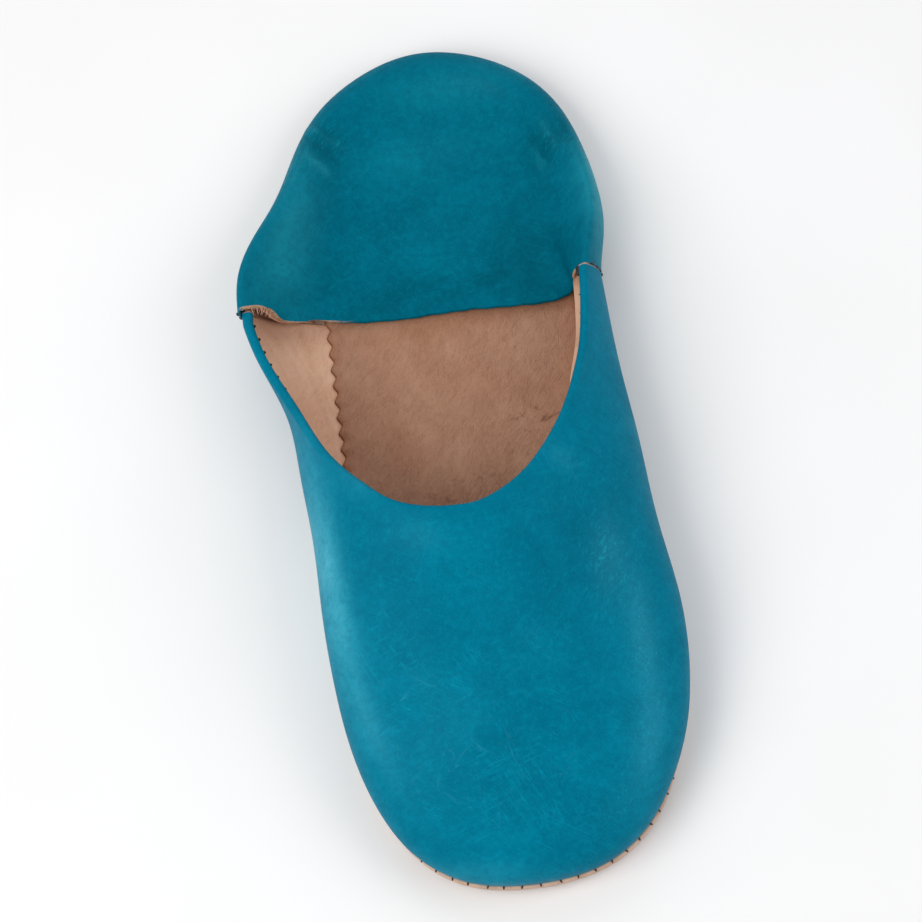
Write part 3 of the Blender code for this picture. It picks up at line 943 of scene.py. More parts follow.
    def lining_stand(self, past: Array, reach: Array) -> Array:
        """How far the lining stands off the medial wall: a bell that rises at the turned band's edge.

        Args:
            past: distances down from the band's edge.
            reach: places along the rim, 0 to 1.

        Returns:
            The standing distance at each place.
        """
        rise = smooth((past + self.bulge_start) / self.bulge_rise)
        bell = rise * np.exp(-(((past - self.bulge_place) / self.bulge_reach) ** 2))
        stand = self.bulge * bell * self.medial_share(reach)
        return stand * smooth((1 - reach) * self.form.span() / self.bulge_end)

    def lining_sheet(self) -> Sheet:
        """The lining: under the turned band, down the wall, round the feather edge and under the insole.

        The bend is a quadratic curve from the wall to the sole, and the margin runs straight inwards. On
        the lateral side, where the insole's edge is straight, both reach further in.

        Returns:
            The sheet.
        """
        last = self.form.last
        half = self.lining / 2
        across, full_across = turned_rows(self.form.span() - 0.1 * MM, half, 240)
        reach = (across[0] + 0.05 * MM) / self.form.span()
        wall = self.wall(reach)
        inner = self.leather + self.lining_gap + self.lining
        lateral, medial = last.seams()
        edge, normal = last.at(lateral + reach * (medial - lateral))
        gap = np.clip(self.insole_edge - edge[:, 0] - last.feather_inset - inner, 0, self.widest_gap)
        gap = gap * smooth(-normal[:, 0] / 0.6)
        room = (self.bend_room + gap)[:, None]
        start = self.bend_start + 2.2 * gap
        width = self.band_width(reach)[:, None]
        top = np.maximum(width - self.lining_lap, self.least_lap)
        fall, full_fall = turned_rows(wall.length - top[:, 0] - start, half, 60, end=False)
        below = top + fall
        stand = self.lining_stand(below - width, reach[:, None])
        upper = wall.place(wall.length[:, None] - below, -inner - stand)
        inward = -level(normal)
        corner = np.column_stack([edge, last.foot_height(edge[:, 1]) - last.clearance])
        corner += inward * (last.feather_inset + inner) + UP * (self.margin_leather + SKIN_GAP)
        t = spaced(0, 1, self.bend_rows + 1)[None, 1:, None]
        first, last_point = upper[:, -1:], (corner + inward * room)[:, None]
        handle = (corner + (inward + UP) * 0.38 * gap[:, None])[:, None]
        bend = (1 - t) ** 2 * first + 2 * (1 - t) * t * handle + t**2 * last_point
        run = spaced(0.1, 1, self.margin_rows)[None, :, None] * self.margin
        margin = last_point + inward[:, None] * run
        margin[..., 2] += last.ground_rise(margin[..., 1]) - last.ground_rise(corner[:, 1])[:, None]
        face = np.concatenate([upper, bend, margin], axis=1)
        thin = np.concatenate([np.zeros(upper.shape[1]), t[0, :, 0], np.ones(self.margin_rows)])
        thickness = self.lining + (self.margin_leather - self.lining) * thin
        full_along = np.concatenate([full_fall, np.ones(self.bend_rows + self.margin_rows)])
        shade = painted(face, self.LINING_SHADES)
        shade[:, : fall.shape[1]] += (1 - smooth(fall / self.shade_depth)) * 0.5
        values = {"shade": shade}
        return Sheet("vamp_lining", face, thickness[None], 1.0, full_across, full_along, values)

    def stitch_paths(self) -> tuple[Array, Array]:
        """Paths of the stitches that cross the edge of the turned band, with their up directions.

        Returns:
            The paths (threads, points, 3) and their up directions.
        """
        span = self.form.span()
        count = int((span - 6 * MM) / self.stitch_pitch)
        reach = spaced(5 * MM, span - 1.6 * MM, count) / span
        beside = 1e-3
        places = np.sort(np.concatenate([reach - beside, reach, reach + beside]))
        wall = self.wall(places)
        above = np.array([-0.9, -0.55, -0.1, 0.3, 0.7]) * MM
        depth = np.array([2.80, 3.05, 3.10, 2.70, 1.90]) * MM
        slant = np.array([-0.25, -0.12, 0.0, 0.12, 0.25]) * MM
        distance = wall.length[:, None] - self.band_width(places)[:, None] - above[None]
        stand = self.lining_stand(above[None], places[:, None])
        points = wall.place(distance, -depth[None] - self.stitch_stand * stand)
        lines = np.arange(1, len(points), 3)
        toward = unit(points[lines + 1] - points[lines - 1])
        paths = points[lines] + toward * slant[None, :, None]
        return paths, unit(wall.place(distance, -depth - 1 * MM)[lines, 2] - points[lines, 2])

    def knot_paths(self) -> tuple[Array, Array]:
        """Turns of thread at the rim's medial end, which tie the quarter to it: low bows along the rim.

        A bow's height is four times its middle's along the parabola t (1 - t).

        Returns:
            The paths (threads, points, 3) and their up directions.
        """
        long, high = 3.0 * MM, 2.4 * MM
        wall = self.wall(1 - np.array([2.0, 1.0, 0.0]) * MM / self.form.span())
        depth = np.tile(np.array([2.7, 3.0, 3.3, 3.6]) * MM, (3, 1))
        found = wall.place(wall.length[:, None] - 1.1 * MM + 0 * depth, -depth)
        along = unit(found[2] - found[0])
        t = spaced(0, 1, 5)[None, :, None]
        start = (np.arange(self.knot_turns) % 2 * 0.5 - 3.3)[:, None, None] * MM
        paths = found[2][:, None] + along[:, None] * (start + long * t) + UP * high * t * (1 - t)
        return paths, np.broadcast_to(UP, (self.knot_turns, 3))


@dataclass
class Quarter:
    """The heel quarter, folded flat inside: dyed leather, lining, side seams and their thread."""

    form: QuarterForm
    leather: float = 1.1 * MM
    skived: float = 0.72 * MM
    lining: float = 0.62 * MM
    lap: float = 2.4 * MM
    skive_fade: float = 4.0 * MM
    inner_gap: float = 0.1 * MM
    ripple: float = 0.16 * MM
    ripple_pitch: float = 34 * MM
    wave: float = 0.08 * MM
    wave_pitch: float = 17 * MM
    wave_reach: float = 14 * MM
    arch_place: float = 5.2 * MM
    arch_reach: float = 6.2 * MM
    arch_depth: float = 2.7 * MM
    arch_fade: float = 18 * MM
    lateral_corner: float = 7 * MM
    edge_rise: float = 0.8 * MM
    edge_rise_fade: float = 14 * MM
    medial_corner: float = 1.5 * MM
    hug: float = 0.45 * MM
    hug_reach: float = 12 * MM
    turned_in: float = 1.5 * MM
    fibres: int = 30
    seam_behind: float = 0.55 * MM
    seam_pitch: float = 3.1 * MM
    seam_stitch: float = 2.7 * MM

    FOLDS = (
        Fold((-38, 111), (-25, 101), 1.5, 0.42, 1.5), Fold((-38, 107), (-26, 96), 1.3, -0.45, 1),
        Fold((-39, 102), (-29, 92), 1.4, 0.45, 0.8), Fold((-34, 113), (-26, 104), 1.2, -0.40, -0.6),
        Fold((33, 105), (40, 88), 1.5, 0.40, -1.5), Fold((29, 101), (36, 86), 1.3, -0.45, -1),
        Fold((31, 96), (33, 83), 1.2, 0.40, -0.6), Fold((38, 102), (42, 89), 1.2, -0.40, 0.5),
        Fold((-14, 92), (14, 96), 9.0, 0.30, 3), Fold((-24, 66), (6, 70), 8.0, 0.25, -2),
        Fold((22, 74), (32, 54), 5.0, 0.25, 1),
    )
    CRINKLED = (
        Patch((-31, 104), (8, 9), 0, 1.0), Patch((36, 94), (6, 9), 0, 1.0),
        Patch((20, 66), (14, 10), 0, 0.3),
    )
    LIGHTER_ZONES = (
        Patch((-40, 92), (6, 26), -12, 0.5), Patch((-50, 62), (9, 20), -15, 0.45),
        Patch((47, 74), (6, 30), 4, 0.95), Patch((10, 118), (24, 7), 0, 0.35),
        Patch((-4, 98), (20, 8), 0, 0.2),
    )
    DEEP = (
        Patch((-4, 53), (34, 8), 4, 0.85), Patch((-34, 62), (8, 12), 20, 0.5),
        Patch((22, 62), (12, 20), 0, 0.5), Patch((-14, 78), (18, 10), 10, 0.35),
        Patch((28, 92), (9, 16), 0, 0.4), Patch((-26, 96), (8, 16), 0, 0.35),
    )

    def width(self) -> float:
        """Length of the leather along the feather edge, with both laps."""
        return self.form.span() + 2 * self.lap

    def reach(self, across: Array) -> Array:
        """Reach of distances counted from the lateral end of the lap."""
        return (across - self.lap) / self.form.span()

    def wall(self, reach: Array) -> Wall:
        """The quarter's dyed face at these reaches, with its creases and a wavy collar edge.

        Args:
            reach: places along the feather edge, 0 to 1.

        Returns:
            The wall.
        """
        ribs = self.form.ribs(reach)
        height = arc_length(ribs)
        near_edge = smooth(1 - (height[:, -1:] - height) / self.wave_reach)
        phase = reach * self.form.span() / self.wave_pitch * 2 * math.pi
        sway = self.wave * (np.sin(phase) + 0.6 * np.sin(0.53 * phase + 1.1))
        ribs[..., 1] -= sway[:, None] * near_edge
        near_medial = smooth(1 - (1 - reach) * self.form.span() / self.hug_reach)
        hugging = self.hug * near_medial
        return Wall(ribs, -1.0, self.FOLDS, self.ripple, self.ripple_pitch, seed=5, inset=hugging)

    def leather_length(self, wall: Wall, across: Array) -> Array:
        """Length of each rib with the flap's two front corners rounded and its edge raised to the ear.

        A corner takes off its radius less the root of its radius squared less the way into it squared.

        Args:
            wall: the ribs.
            across: the ribs' distances from the lateral end.

        Returns:
            A length for each rib.
        """
        length, from_medial = wall.length, self.width() - across
        for radius, place in ((self.lateral_corner, across), (self.medial_corner, from_medial)):
            into = np.clip(radius - place, 0, radius)
            length = length - (radius - np.sqrt(np.maximum(radius**2 - into**2, 0)))
        return length - self.edge_rise * (1 - smooth(across / self.edge_rise_fade))

    def arched(self, face: Array, across: Array, beyond: Array) -> Array:
        """Cuts the lateral end back in an arch over the vamp's rim.

        Each row of points moves along its own line: by a bell of the distance past the fold, which fades
        out across the lines.

        Args:
            face: points (lines, rows, 3).
            across: the lines' distances from the lateral end.
            beyond: each point's distance past the fold (lines, rows).

        Returns:
            The moved points.
        """
        bell = np.exp(-(((beyond - self.arch_place) / self.arch_reach) ** 2))
        moved = across[:, None] + self.arch_depth * bell * (1 - smooth(across / self.arch_fade))[:, None]
        at = np.interp(moved.ravel(), across, np.arange(len(across))).reshape(moved.shape)
        low = np.minimum(at.astype(int), len(across) - 2)
        share = (at - low)[..., None]
        rows = np.arange(face.shape[1])
        return face[low, rows] * (1 - share) + face[low + 1, rows] * share

    def fold_distance(self, wall: Wall) -> Array:
        """Distance up each rib of the fold's highest point."""
        length = arc_length(wall.ribs)
        return length[np.arange(len(length)), np.argmax(wall.ribs[..., 2], axis=1)]

    def shell(self) -> Sheet:
        """The dyed leather, pared thin where its ends lap over the vamp's wall.

        Returns:
            The sheet.
        """
        half = self.leather / 2
        width = self.width()
        across, full_across = turned_rows(width, half, 212)
        wall = self.wall(self.reach(across[0]))
        length = self.leather_length(wall, across[0])
        distance, full_along = turned_rows(length, half, 150)
        beyond = distance - self.fold_distance(wall)[:, None]
        face = self.arched(wall.place(distance, 0.0), across[0], beyond)
        from_end = np.minimum(across[0], width - across[0])[:, None]
        below_fold = smooth(-beyond / (2 * MM))
        pared = (1 - smooth((from_end - self.lap) / self.skive_fade)) * below_fold
        thickness = self.leather + (self.skived - self.leather) * pared
        at_end = cut_mask(full_across)[:, None] * (1 - 0.95 * below_fold)
        at_collar = cut_mask(full_along)[None] * (distance > wall.length[:, None] / 2)
        lateral = 1 - smooth((face[..., 0] + 40 * MM) / (12 * MM))
        # Painted shade in the crease troughs and painted highlight on the crease ridges, added to the
        # darker zones and the wear mask.
        trough, ridge = crease_shade_and_highlight(face, self.FOLDS)
        values = {
            "wear_and_highlight": np.clip(painted(face, self.LIGHTER_ZONES) + ridge, 0, 1),
            "deep": np.clip(painted(face, self.DEEP) + trough + at_collar, 0, 1),
            "raw": np.maximum(at_end, at_collar * lateral),
            "crinkled": painted(face, self.CRINKLED),
            "lying": smooth(beyond / (12 * MM)),
            "rim": np.exp(-((beyond / (3.5 * MM)) ** 2)),
        }
        return Sheet("quarter_upper", face, thickness, -1.0, full_across, full_along, values)

    def flap_lining(self) -> Sheet:
        """The lining behind the fold and under the flap, flush with the cut edges.

        Returns:
            The sheet.
        """
        half = self.lining / 2
        across, full_across = turned_rows(self.width() - 2 * self.inner_gap, half, 150)
        places = across[0] + self.inner_gap
        wall = self.wall(self.reach(places))
        start = self.fold_distance(wall)[:, None] - self.turned_in
        length = self.leather_length(wall, places)
        middle = smooth((wall.ribs[:, -1, 0] + 38 * MM) / (10 * MM))
        rows, full_along = turned_rows(length - start[:, 0] - (0.1 + 1.1 * middle) * MM, half, 70)
        face = wall.place(start + rows, -self.leather - SKIN_GAP)
        face = self.arched(face, places, rows - self.turned_in)
        return Sheet("quarter_flap_lining", face, self.lining, -1.0, full_across, full_along)

    def wall_lining(self) -> Sheet:
        """The lining behind the standing wall, which stops short of the side seams.

        Returns:
            The sheet.
        """
        half = self.lining / 2
        inset = self.lap + self.inner_gap
        across, full_across = turned_rows(self.width() - 2 * inset, half, 90)
        wall = self.wall(self.reach(across[0] + inset))
        rows, full_along = turned_rows(self.fold_distance(wall) - 2.2 * MM, half, 20)
        face = wall.place(0.4 * MM + rows, -self.leather - SKIN_GAP)
        return Sheet("quarter_wall_lining", face, self.lining, -1.0, full_across, full_along)

    def fray_paths(self, shell: Sheet) -> tuple[Array, Array]:
        """Loose fibres of the cut lateral end over the ear, each bent a little in a seeded direction.

        Args:
            shell: the dyed leather, whose first full line is the cut end.

        Returns:
            The fibres' paths and their up directions.
        """
        random = np.random.default_rng(21)
        count, line = self.fibres, len(EDGE_TURN)
        past_fold = shell.values["lying"][line]
        row = random.choice(np.flatnonzero((past_fold > 0.004) & (past_fold < 0.9)), count)
        start = shell.face[line, row] - UP * random.uniform(0.5, 1.5, (count, 1)) * MM
        toward = unit(shell.face[line, row] - shell.face[line + 8, row])
        ahead = unit(toward + random.uniform(-0.8, 0.8, (count, 3)) - UP * 0.15)
        bend = unit(ahead + random.uniform(-0.9, 0.9, (count, 3)))
        t = spaced(0, 1, 5)[None, :, None]
        long = random.uniform(0.6, 2.2, count)[:, None, None] * MM
        paths = start[:, None] + ahead[:, None] * long * t + bend[:, None] * long * 0.5 * t**2
        return paths, np.broadcast_to(unit(np.array([0.3, 0.4, 0.9])), (count, 3))

    def seam_stitches(self) -> tuple[Array, Array]:
        """Running stitches down both laps: dashes beside the lap's edge, from the fold to the foot.

        Returns:
            The paths (threads, points, 3) and their up directions.
        """
        paths, ups = [], []
        lift = np.array([-0.15, 0.16, 0.22, 0.16, -0.15]) * MM
        for place in (self.seam_behind, self.width() - self.seam_behind):
            wall = self.wall(self.reach(place + np.array([-0.2, 0.0, 0.2]) * MM))
            top = self.fold_distance(wall)[1] - 3.4 * MM
            middle = np.arange(top, 2.5 * MM, -self.seam_pitch)[:, None]
            along = middle + spaced(-self.seam_stitch / 2, self.seam_stitch / 2, 5)[None]
            distance = np.broadcast_to(along.reshape(1, -1), (3, along.size))
            found = wall.place(distance, np.tile(lift, len(middle)))[1]
            out = wall.place(distance, np.tile(lift + 1 * MM, len(middle)))[1] - found
            paths.append(found.reshape(len(middle), 5, 3))
            ups.append(unit(out.reshape(len(middle), 5, 3)[:, 2]))
        return np.concatenate(paths), np.concatenate(ups)


@dataclass
class Insole:
    """The insole: a soft leather sock cut to the sole's outline, with a straight pinked lateral edge."""

    last: Last
    wall: float = 1.9 * MM
    ease: float = 0.7 * MM
    edge_share: float = 0.403
    pitch: float = 5.0 * MM
    depth: float = 1.15 * MM
    pinked_end: float = 0.50
    round_tip: float = 0.10
    tooth_rows: int = 16
    tip_gap: float = 0.3 * MM
    skive: float = 0.85 * MM
    skive_reach: float = 1.6 * MM
    edge_dark: float = 0.42 * MM
    medial_dark: float = 0.8 * MM
    rows: int = 260
    columns: int = 84

    WRINKLES = (
        Fold((6, 30), (30, 22), 3.0, 0.07, 2), Fold((-6, 12), (20, 16), 4.0, -0.06, 2),
        Fold((14, -6), (30, 8), 3.0, 0.07, 1), Fold((-24, 22), (-4, 26), 4.0, 0.05, -2),
    )
    STAINS = (
        Patch((20, 11), (8, 5), 10, 1.0), Patch((10, 3), (4, 2), 0, 0.8),
        Patch((-6, -8), (14, 4), 5, 0.9), Patch((26, -2), (5, 4), 0, 0.6),
    )
    SHADES = (
        Patch((4, 45), (46, 4), 4, 0.7), Patch((36, 10), (5, 30), 0, 0.5),
        Patch((-8, -16), (36, 6), 0, 0.5), Patch((-20, 10), (3, 24), 4, 0.3),
    )

    def pinked(self, y: Array) -> Array:
        """X of the lateral edge: straight, with teeth from the side seam to the pinking's end.

        A tooth's depth is a triangle wave of the distance from the seam, with slightly rounded tips.

        Args:
            y: places along the slipper.

        Returns:
            X of the edge there.
        """
        last = self.last
        start, end = last.length_place(last.seam_share), last.length_place(self.pinked_end)
        phase = (start - y) / self.pitch
        saw = 1 - np.abs(2 * (phase - np.floor(phase)) - 1)
        saw = np.clip((saw - self.round_tip) / (1 - 2 * self.round_tip), 0, 1)
        cut = np.where((y <= start) & (y >= end), saw * self.depth, 0.0)
        return -self.edge_share * last.ball_width + cut

    def sheet(self) -> Sheet:
        """Rows across the sole, from heel to toe, each from its lateral edge to its medial one.

        Returns:
            The sheet.
        """
        last = self.last
        inset = last.feather_inset + self.wall + self.ease
        rim = (last.rim - last.normals * inset)[:-1]
        rim = np.roll(rim, -int(np.argmax(rim[:, 1])), axis=0)
        toe = int(np.argmin(rim[:, 1]))
        lateral, medial = rim[: toe + 1], np.vstack([rim[toe:], rim[:1]])[::-1]
        heel_y, toe_y = rim[0, 1] - self.tip_gap, rim[toe, 1] + self.tip_gap
        turn = (1 - np.cos(spaced(0, math.pi, self.rows))) / 2
        seam_y, end_y = last.length_place(last.seam_share), last.length_place(self.pinked_end)
        teeth = np.arange(seam_y, end_y - self.pitch, -self.pitch / self.tooth_rows)
        y = np.unique(np.round(np.concatenate([heel_y + (toe_y - heel_y) * turn, teeth]), 5))[::-1]
        left = np.interp(-y, -lateral[:, 1], lateral[:, 0])
        right = np.interp(-y, -medial[:, 1], medial[:, 0])
        left = np.maximum(left, self.pinked(y))
        half = last.insole_thickness / 2
        across, full = turned_rows(right - left, half, self.columns)
        x = left[:, None] + across
        flat = np.stack([x, np.broadcast_to(y[:, None], x.shape), np.zeros_like(x)], axis=-1)
        height = last.ground_rise(y)[:, None] + last.insole_low() + last.insole_thickness
        soft = 0.05 * MM * undulation(flat, 30 * MM, 3) + creased(flat, self.WRINKLES)
        skive = self.skive * np.exp(-((across / self.skive_reach) ** 2))
        flat[..., 2] = height + soft - skive
        from_right = (right - left)[:, None] - across
        shown = smooth((50 * MM - y) / (6 * MM)) * smooth((y + 6 * MM) / (10 * MM))
        # Darker along both cut edges: the pinked edge's stained cut, partly painted shadow of its step
        # down to the lining, and a band along the medial edge.
        edge = np.exp(-((across / self.edge_dark) ** 2)) * (0.75 + 0.25 * shown[:, None])
        values = {
            "edge": np.maximum(edge, np.exp(-((from_right / self.medial_dark) ** 2)) * 0.8),
            "stain": painted(flat, self.STAINS),
            "shade": painted(flat, self.SHADES),
        }
        return Sheet("insole_sock", flat, last.insole_thickness, 1.0, 1.0, full, values)


@dataclass
class Outsole:
    """The outsole: one thickness of tan leather with a rounded edge, sewn to the upper all round."""

    last: Last
    round_top: float = 0.45 * MM
    round_bottom: float = 0.6 * MM
    stitch_pitch: float = 5.1 * MM
    thread: float = 0.26 * MM
    side_points: int = 340
    columns: int = 40

    def outline(self, inset: float, low: float) -> Array:
        """The sole's outline at an inset and a height above the ground rise.

        Points run from the back of the heel down the lateral side to the toe, and back up the other.

        Args:
            inset: distance in from the sole's edge.
            low: height above the ground rise.

        Returns:
            The loop's points (points, 3).
        """
        rim = self.last.rim[:-1] - self.last.normals[:-1] * inset
        start = int(np.argmax(rim[:, 1]))
        rim = np.roll(rim, -start, axis=0)
        toe = int(np.argmin(rim[:, 1]))
        sides = []
        for side in (rim[: toe + 1], np.vstack([rim[toe:], rim[:1]])):
            flat = level(side)[None]
            length = arc_length(flat)[0, -1]
            sides.append(resample(flat, spaced(0, length, self.side_points + 1)[None])[0, :-1])
        loop = np.vstack(sides)
        loop[:, 2] = self.last.ground_rise(loop[:, 1]) + low
        return loop

    def build(self, material: Material) -> Object:
        """Stacks outlines up the rounded edge, and fills both faces with rungs from side to side.

        The edge's section is a quarter circle below, a straight side and a quarter circle above. A rung
        joins the points that lie equally far along both sides, and is evenly divided.

        Args:
            material: the finish.

        Returns:
            The new object.
        """
        count = self.side_points
        thick, low, top = self.last.sole_thickness, self.round_bottom, self.round_top
        turn = [(math.sin(angle), math.cos(angle)) for angle in spaced(0, math.pi / 2, 5)]
        section = [(low * (1 - sine), low * (1 - cosine)) for sine, cosine in turn]
        section.append((0.0, thick / 2))
        section += [(top * (1 - cosine), thick - top * (1 - sine)) for sine, cosine in turn]
        loops = np.stack([self.outline(inset, height) for inset, height in section])
        levels, around = loops.shape[:2]
        loops += 0.04 * MM * undulation(loops, 22 * MM, 8)[..., None] * np.array([1, 1, 0])
        index = np.arange(levels * around).reshape(levels, around)
        ring = np.concatenate([index, index[:, :1]], axis=1)
        faces = grid_quads(ring)[:, ::-1].tolist()
        points = [loops.reshape(-1, 3)]
        total = levels * around
        share = spaced(0, 1, self.columns + 1)[1:-1]
        for end, up in ((0, False), (levels - 1, True)):
            loop = loops[end]
            left, right = loop[1:count], loop[: count : -1]
            inner = left[:, None] + (right - left)[:, None] * share[None, :, None]
            inner[..., 2] = self.last.ground_rise(inner[..., 1]) + (thick if up else 0.0)
            numbers = total + np.arange(inner.size // 3).reshape(inner.shape[:2])
            total += inner.size // 3
            points.append(inner.reshape(-1, 3))
            lateral, medial = index[end, 1:count], index[end, : count : -1]
            rungs = np.column_stack([lateral, numbers, medial])
            quads = grid_quads(rungs)
            fans = []
            for tip, rung in ((index[end, 0], rungs[0]), (index[end, count], rungs[-1][::-1])):
                fans += [[int(tip), int(a), int(b)] for a, b in zip(rung, rung[1:])]
            faces += (quads if up else quads[:, ::-1]).tolist()
            faces += [fan if up else fan[::-1] for fan in fans]
        mesh = bpy.data.meshes.new("outsole_leather")
        mesh.from_pydata(np.concatenate(points).tolist(), [], faces)
        return finished("outsole_leather", mesh, material, Slot.SOLE, "outsole")

    def stitch_paths(self) -> tuple[Array, Array]:
        """Stitches across the rim's top: from the feather edge out over the rounded edge.

        Returns:
            The paths (threads, points, 3) and their up directions.
        """
        total = float(self.last.distance[-1])
        count = int(total / self.stitch_pitch)
        jitter = np.random.default_rng(9).uniform(-0.5, 0.5, count) * MM
        edge, normal = self.last.at(spaced(0, total, count + 1)[:-1] + jitter)
        out = level(normal)
        base = np.column_stack([edge, self.last.ground_rise(edge[:, 1]) + self.last.sole_thickness])
        reach = np.array([-0.95, -0.6, -0.35, -0.08, 0.06, 0.02]) * MM
        height = np.array([-0.05, 0.10, 0.11, -0.06, -0.35, -0.65]) * MM
        random = np.random.default_rng(4)
        size = random.uniform(0.75, 1.1, count)[:, None, None]
        sideways = np.column_stack([-out[:, 1], out[:, 0], out[:, 2]])
        skew = sideways * random.uniform(-0.35, 0.35, (count, 1))
        paths = base[:, None] + (out[:, None] + skew[:, None]) * reach[None, :, None] * size
        return paths + UP * height[None, :, None] * size, unit(out * 0.6 + UP)


@dataclass
class Graph:
    """Adds nodes to a shader tree, each by one short call."""

    tree: bpy.types.NodeTree

    def put(self, socket: Socket, value: Value) -> None:
        """Links a socket, or sets its own value.

        Args:
            socket: what is fed.
            value: a socket, or a value of its own.
        """
        if isinstance(value, Socket):
            self.tree.links.new(value, socket)
        else:
            socket.default_value = value

    def node(self, kind: str, settings: dict[str, object] | None = None, **inputs: Value) -> Node:
        """Adds a node, with its settings and its inputs by name (an underscore stands for a space).

        Args:
            kind: the node's type.
            settings: its properties by name.
            inputs: its inputs by name.

        Returns:
            The new node.
        """
        made = self.tree.nodes.new(kind)
        for name, value in (settings or {}).items():
            setattr(made, name, value)
        for name, value in inputs.items():
            self.put(made.inputs[name.replace("_", " ")], value)
        return made

    def math(self, operation: str, first: Value, second: Value = 0.0, third: Value = 0.0) -> Socket:
        """A Math node's result.

        Args:
            operation: Blender's name for it.
            first, second, third: its inputs.

        Returns:
            The result.
        """
        made = self.node("ShaderNodeMath", {"operation": operation})
        for socket, value in zip(made.inputs, (first, second, third)):
            self.put(socket, value)
        return made.outputs[0]

    def times(self, first: Value, second: Value, added: Value | None = None) -> Socket:
        """The first value times the second, and with a third one added where it is given."""
        operation = "MULTIPLY" if added is None else "MULTIPLY_ADD"
        return self.math(operation, first, second, 0.0 if added is None else added)

    def plus(self, first: Value, second: Value) -> Socket:
        """The sum of two values."""
        return self.math("ADD", first, second)

    def less(self, first: Value, second: Value) -> Socket:
        """The first value less the second."""
        return self.math("SUBTRACT", first, second)

    def larger(self, first: Value, second: Value) -> Socket:
        """The larger of two values."""
        return self.math("MAXIMUM", first, second)

    def band(
        self, value: Value, low: float, high: float, to_low: float = 0.0, to_high: float = 1.0
    ) -> Socket:
        """A value mapped smoothly from one range to another, and clamped.

        Args:
            value: what is mapped.
            low, high: the range it comes from.
            to_low, to_high: and goes to.

        Returns:
            The mapped value.
        """
        made = self.node("ShaderNodeMapRange", {"interpolation_type": "SMOOTHSTEP"})
        for socket, given in zip(made.inputs, (value, low, high, to_low, to_high)):
            self.put(socket, given)
        return made.outputs[0]

    def mix(self, share: Value, first: Value, second: Value) -> Socket:
        """A mix of two colours.

        Args:
            share: how much of the second.
            first, second: the colours.

        Returns:
            The mix.
        """
        made = self.node("ShaderNodeMix", {"data_type": "RGBA"})
        for index, value in ((0, share), (6, first), (7, second)):
            self.put(made.inputs[index], value)
        return made.outputs[2]

    def coated(self, colour: Value, *coats: tuple[Value, Value]) -> Socket:
        """A colour with coats laid over it in turn, each a share and a tone.

        Args:
            colour: the ground.
            coats: shares and tones.

        Returns:
            The colour on top.
        """
        for share, tone in coats:
            colour = self.mix(share, colour, tone)
        return colour

    def noise(
        self, at: Value, scale: Value, detail: float = 2.0, rough: float = 0.5, bend: float = 0.0
    ) -> Socket:
        """A Noise Texture's value."""
        inputs = {"Vector": at, "Scale": scale, "Detail": detail, "Roughness": rough, "Distortion": bend}
        return self.node("ShaderNodeTexNoise", **inputs).outputs["Fac"]

    def cells(self, at: Value, scale: Value) -> Socket:
        """A Voronoi Texture's distance from the nearest cell's middle."""
        return self.node("ShaderNodeTexVoronoi", Vector=at, Scale=scale).outputs["Distance"]

    def stretched(self, at: Value, size: tuple[float, float, float], turn: float = 0.0) -> Socket:
        """Coordinates turned about the vertical and divided by a feature size on each axis.

        Args:
            at: coordinates.
            size: the feature's size on each axis.
            turn: degrees about the vertical.

        Returns:
            The new coordinates.
        """
        turned = self.node("ShaderNodeMapping", Vector=at, Rotation=(0.0, 0.0, math.radians(turn)))
        scale = tuple(1 / each for each in size)
        return self.node("ShaderNodeMapping", Vector=turned.outputs[0], Scale=scale).outputs[0]

    def value(self, name: str) -> Socket:
        """The piece's own number under a name, 0 where it has none."""
        return self.node("ShaderNodeAttribute", {"attribute_name": name}).outputs["Fac"]


@dataclass(frozen=True)
class Effect:
    """A shader node group that several finishes share, built once.

    INPUTS names its inputs with their defaults, where None stands for coordinates.
    """

    name: str

    INPUTS = {}
    OUTPUTS = ()

    def fill(self, graph: Graph, given: dict[str, Socket]) -> dict[str, Socket]:
        """Adds the effect's nodes, and says which socket feeds each output."""
        raise NotImplementedError

    def group(self) -> bpy.types.NodeTree:
        """The node group, made on its first use.

        Returns:
            The node group.
        """
        if self.name in bpy.data.node_groups:
            return bpy.data.node_groups[self.name]
        tree = bpy.data.node_groups.new(self.name, "ShaderNodeTree")
        for name, default in self.INPUTS.items():
            kind = "NodeSocketVector" if default is None else "NodeSocketFloat"
            socket = tree.interface.new_socket(name, in_out="INPUT", socket_type=kind)
            if default is not None:
                socket.default_value = default
        for name in self.OUTPUTS:
            tree.interface.new_socket(name, in_out="OUTPUT", socket_type="NodeSocketFloat")
        entry, leave = tree.nodes.new("NodeGroupInput"), tree.nodes.new("NodeGroupOutput")
        found = self.fill(Graph(tree), {name: entry.outputs[name] for name in self.INPUTS})
        for name, socket in found.items():
            tree.links.new(socket, leave.inputs[name])
        return tree

    def place(self, graph: Graph, **inputs: Value) -> bpy.types.bpy_prop_collection:
        """Adds the group to a material with these inputs, and gives its outputs."""
        return graph.node("ShaderNodeGroup", {"node_tree": self.group()}, **inputs).outputs


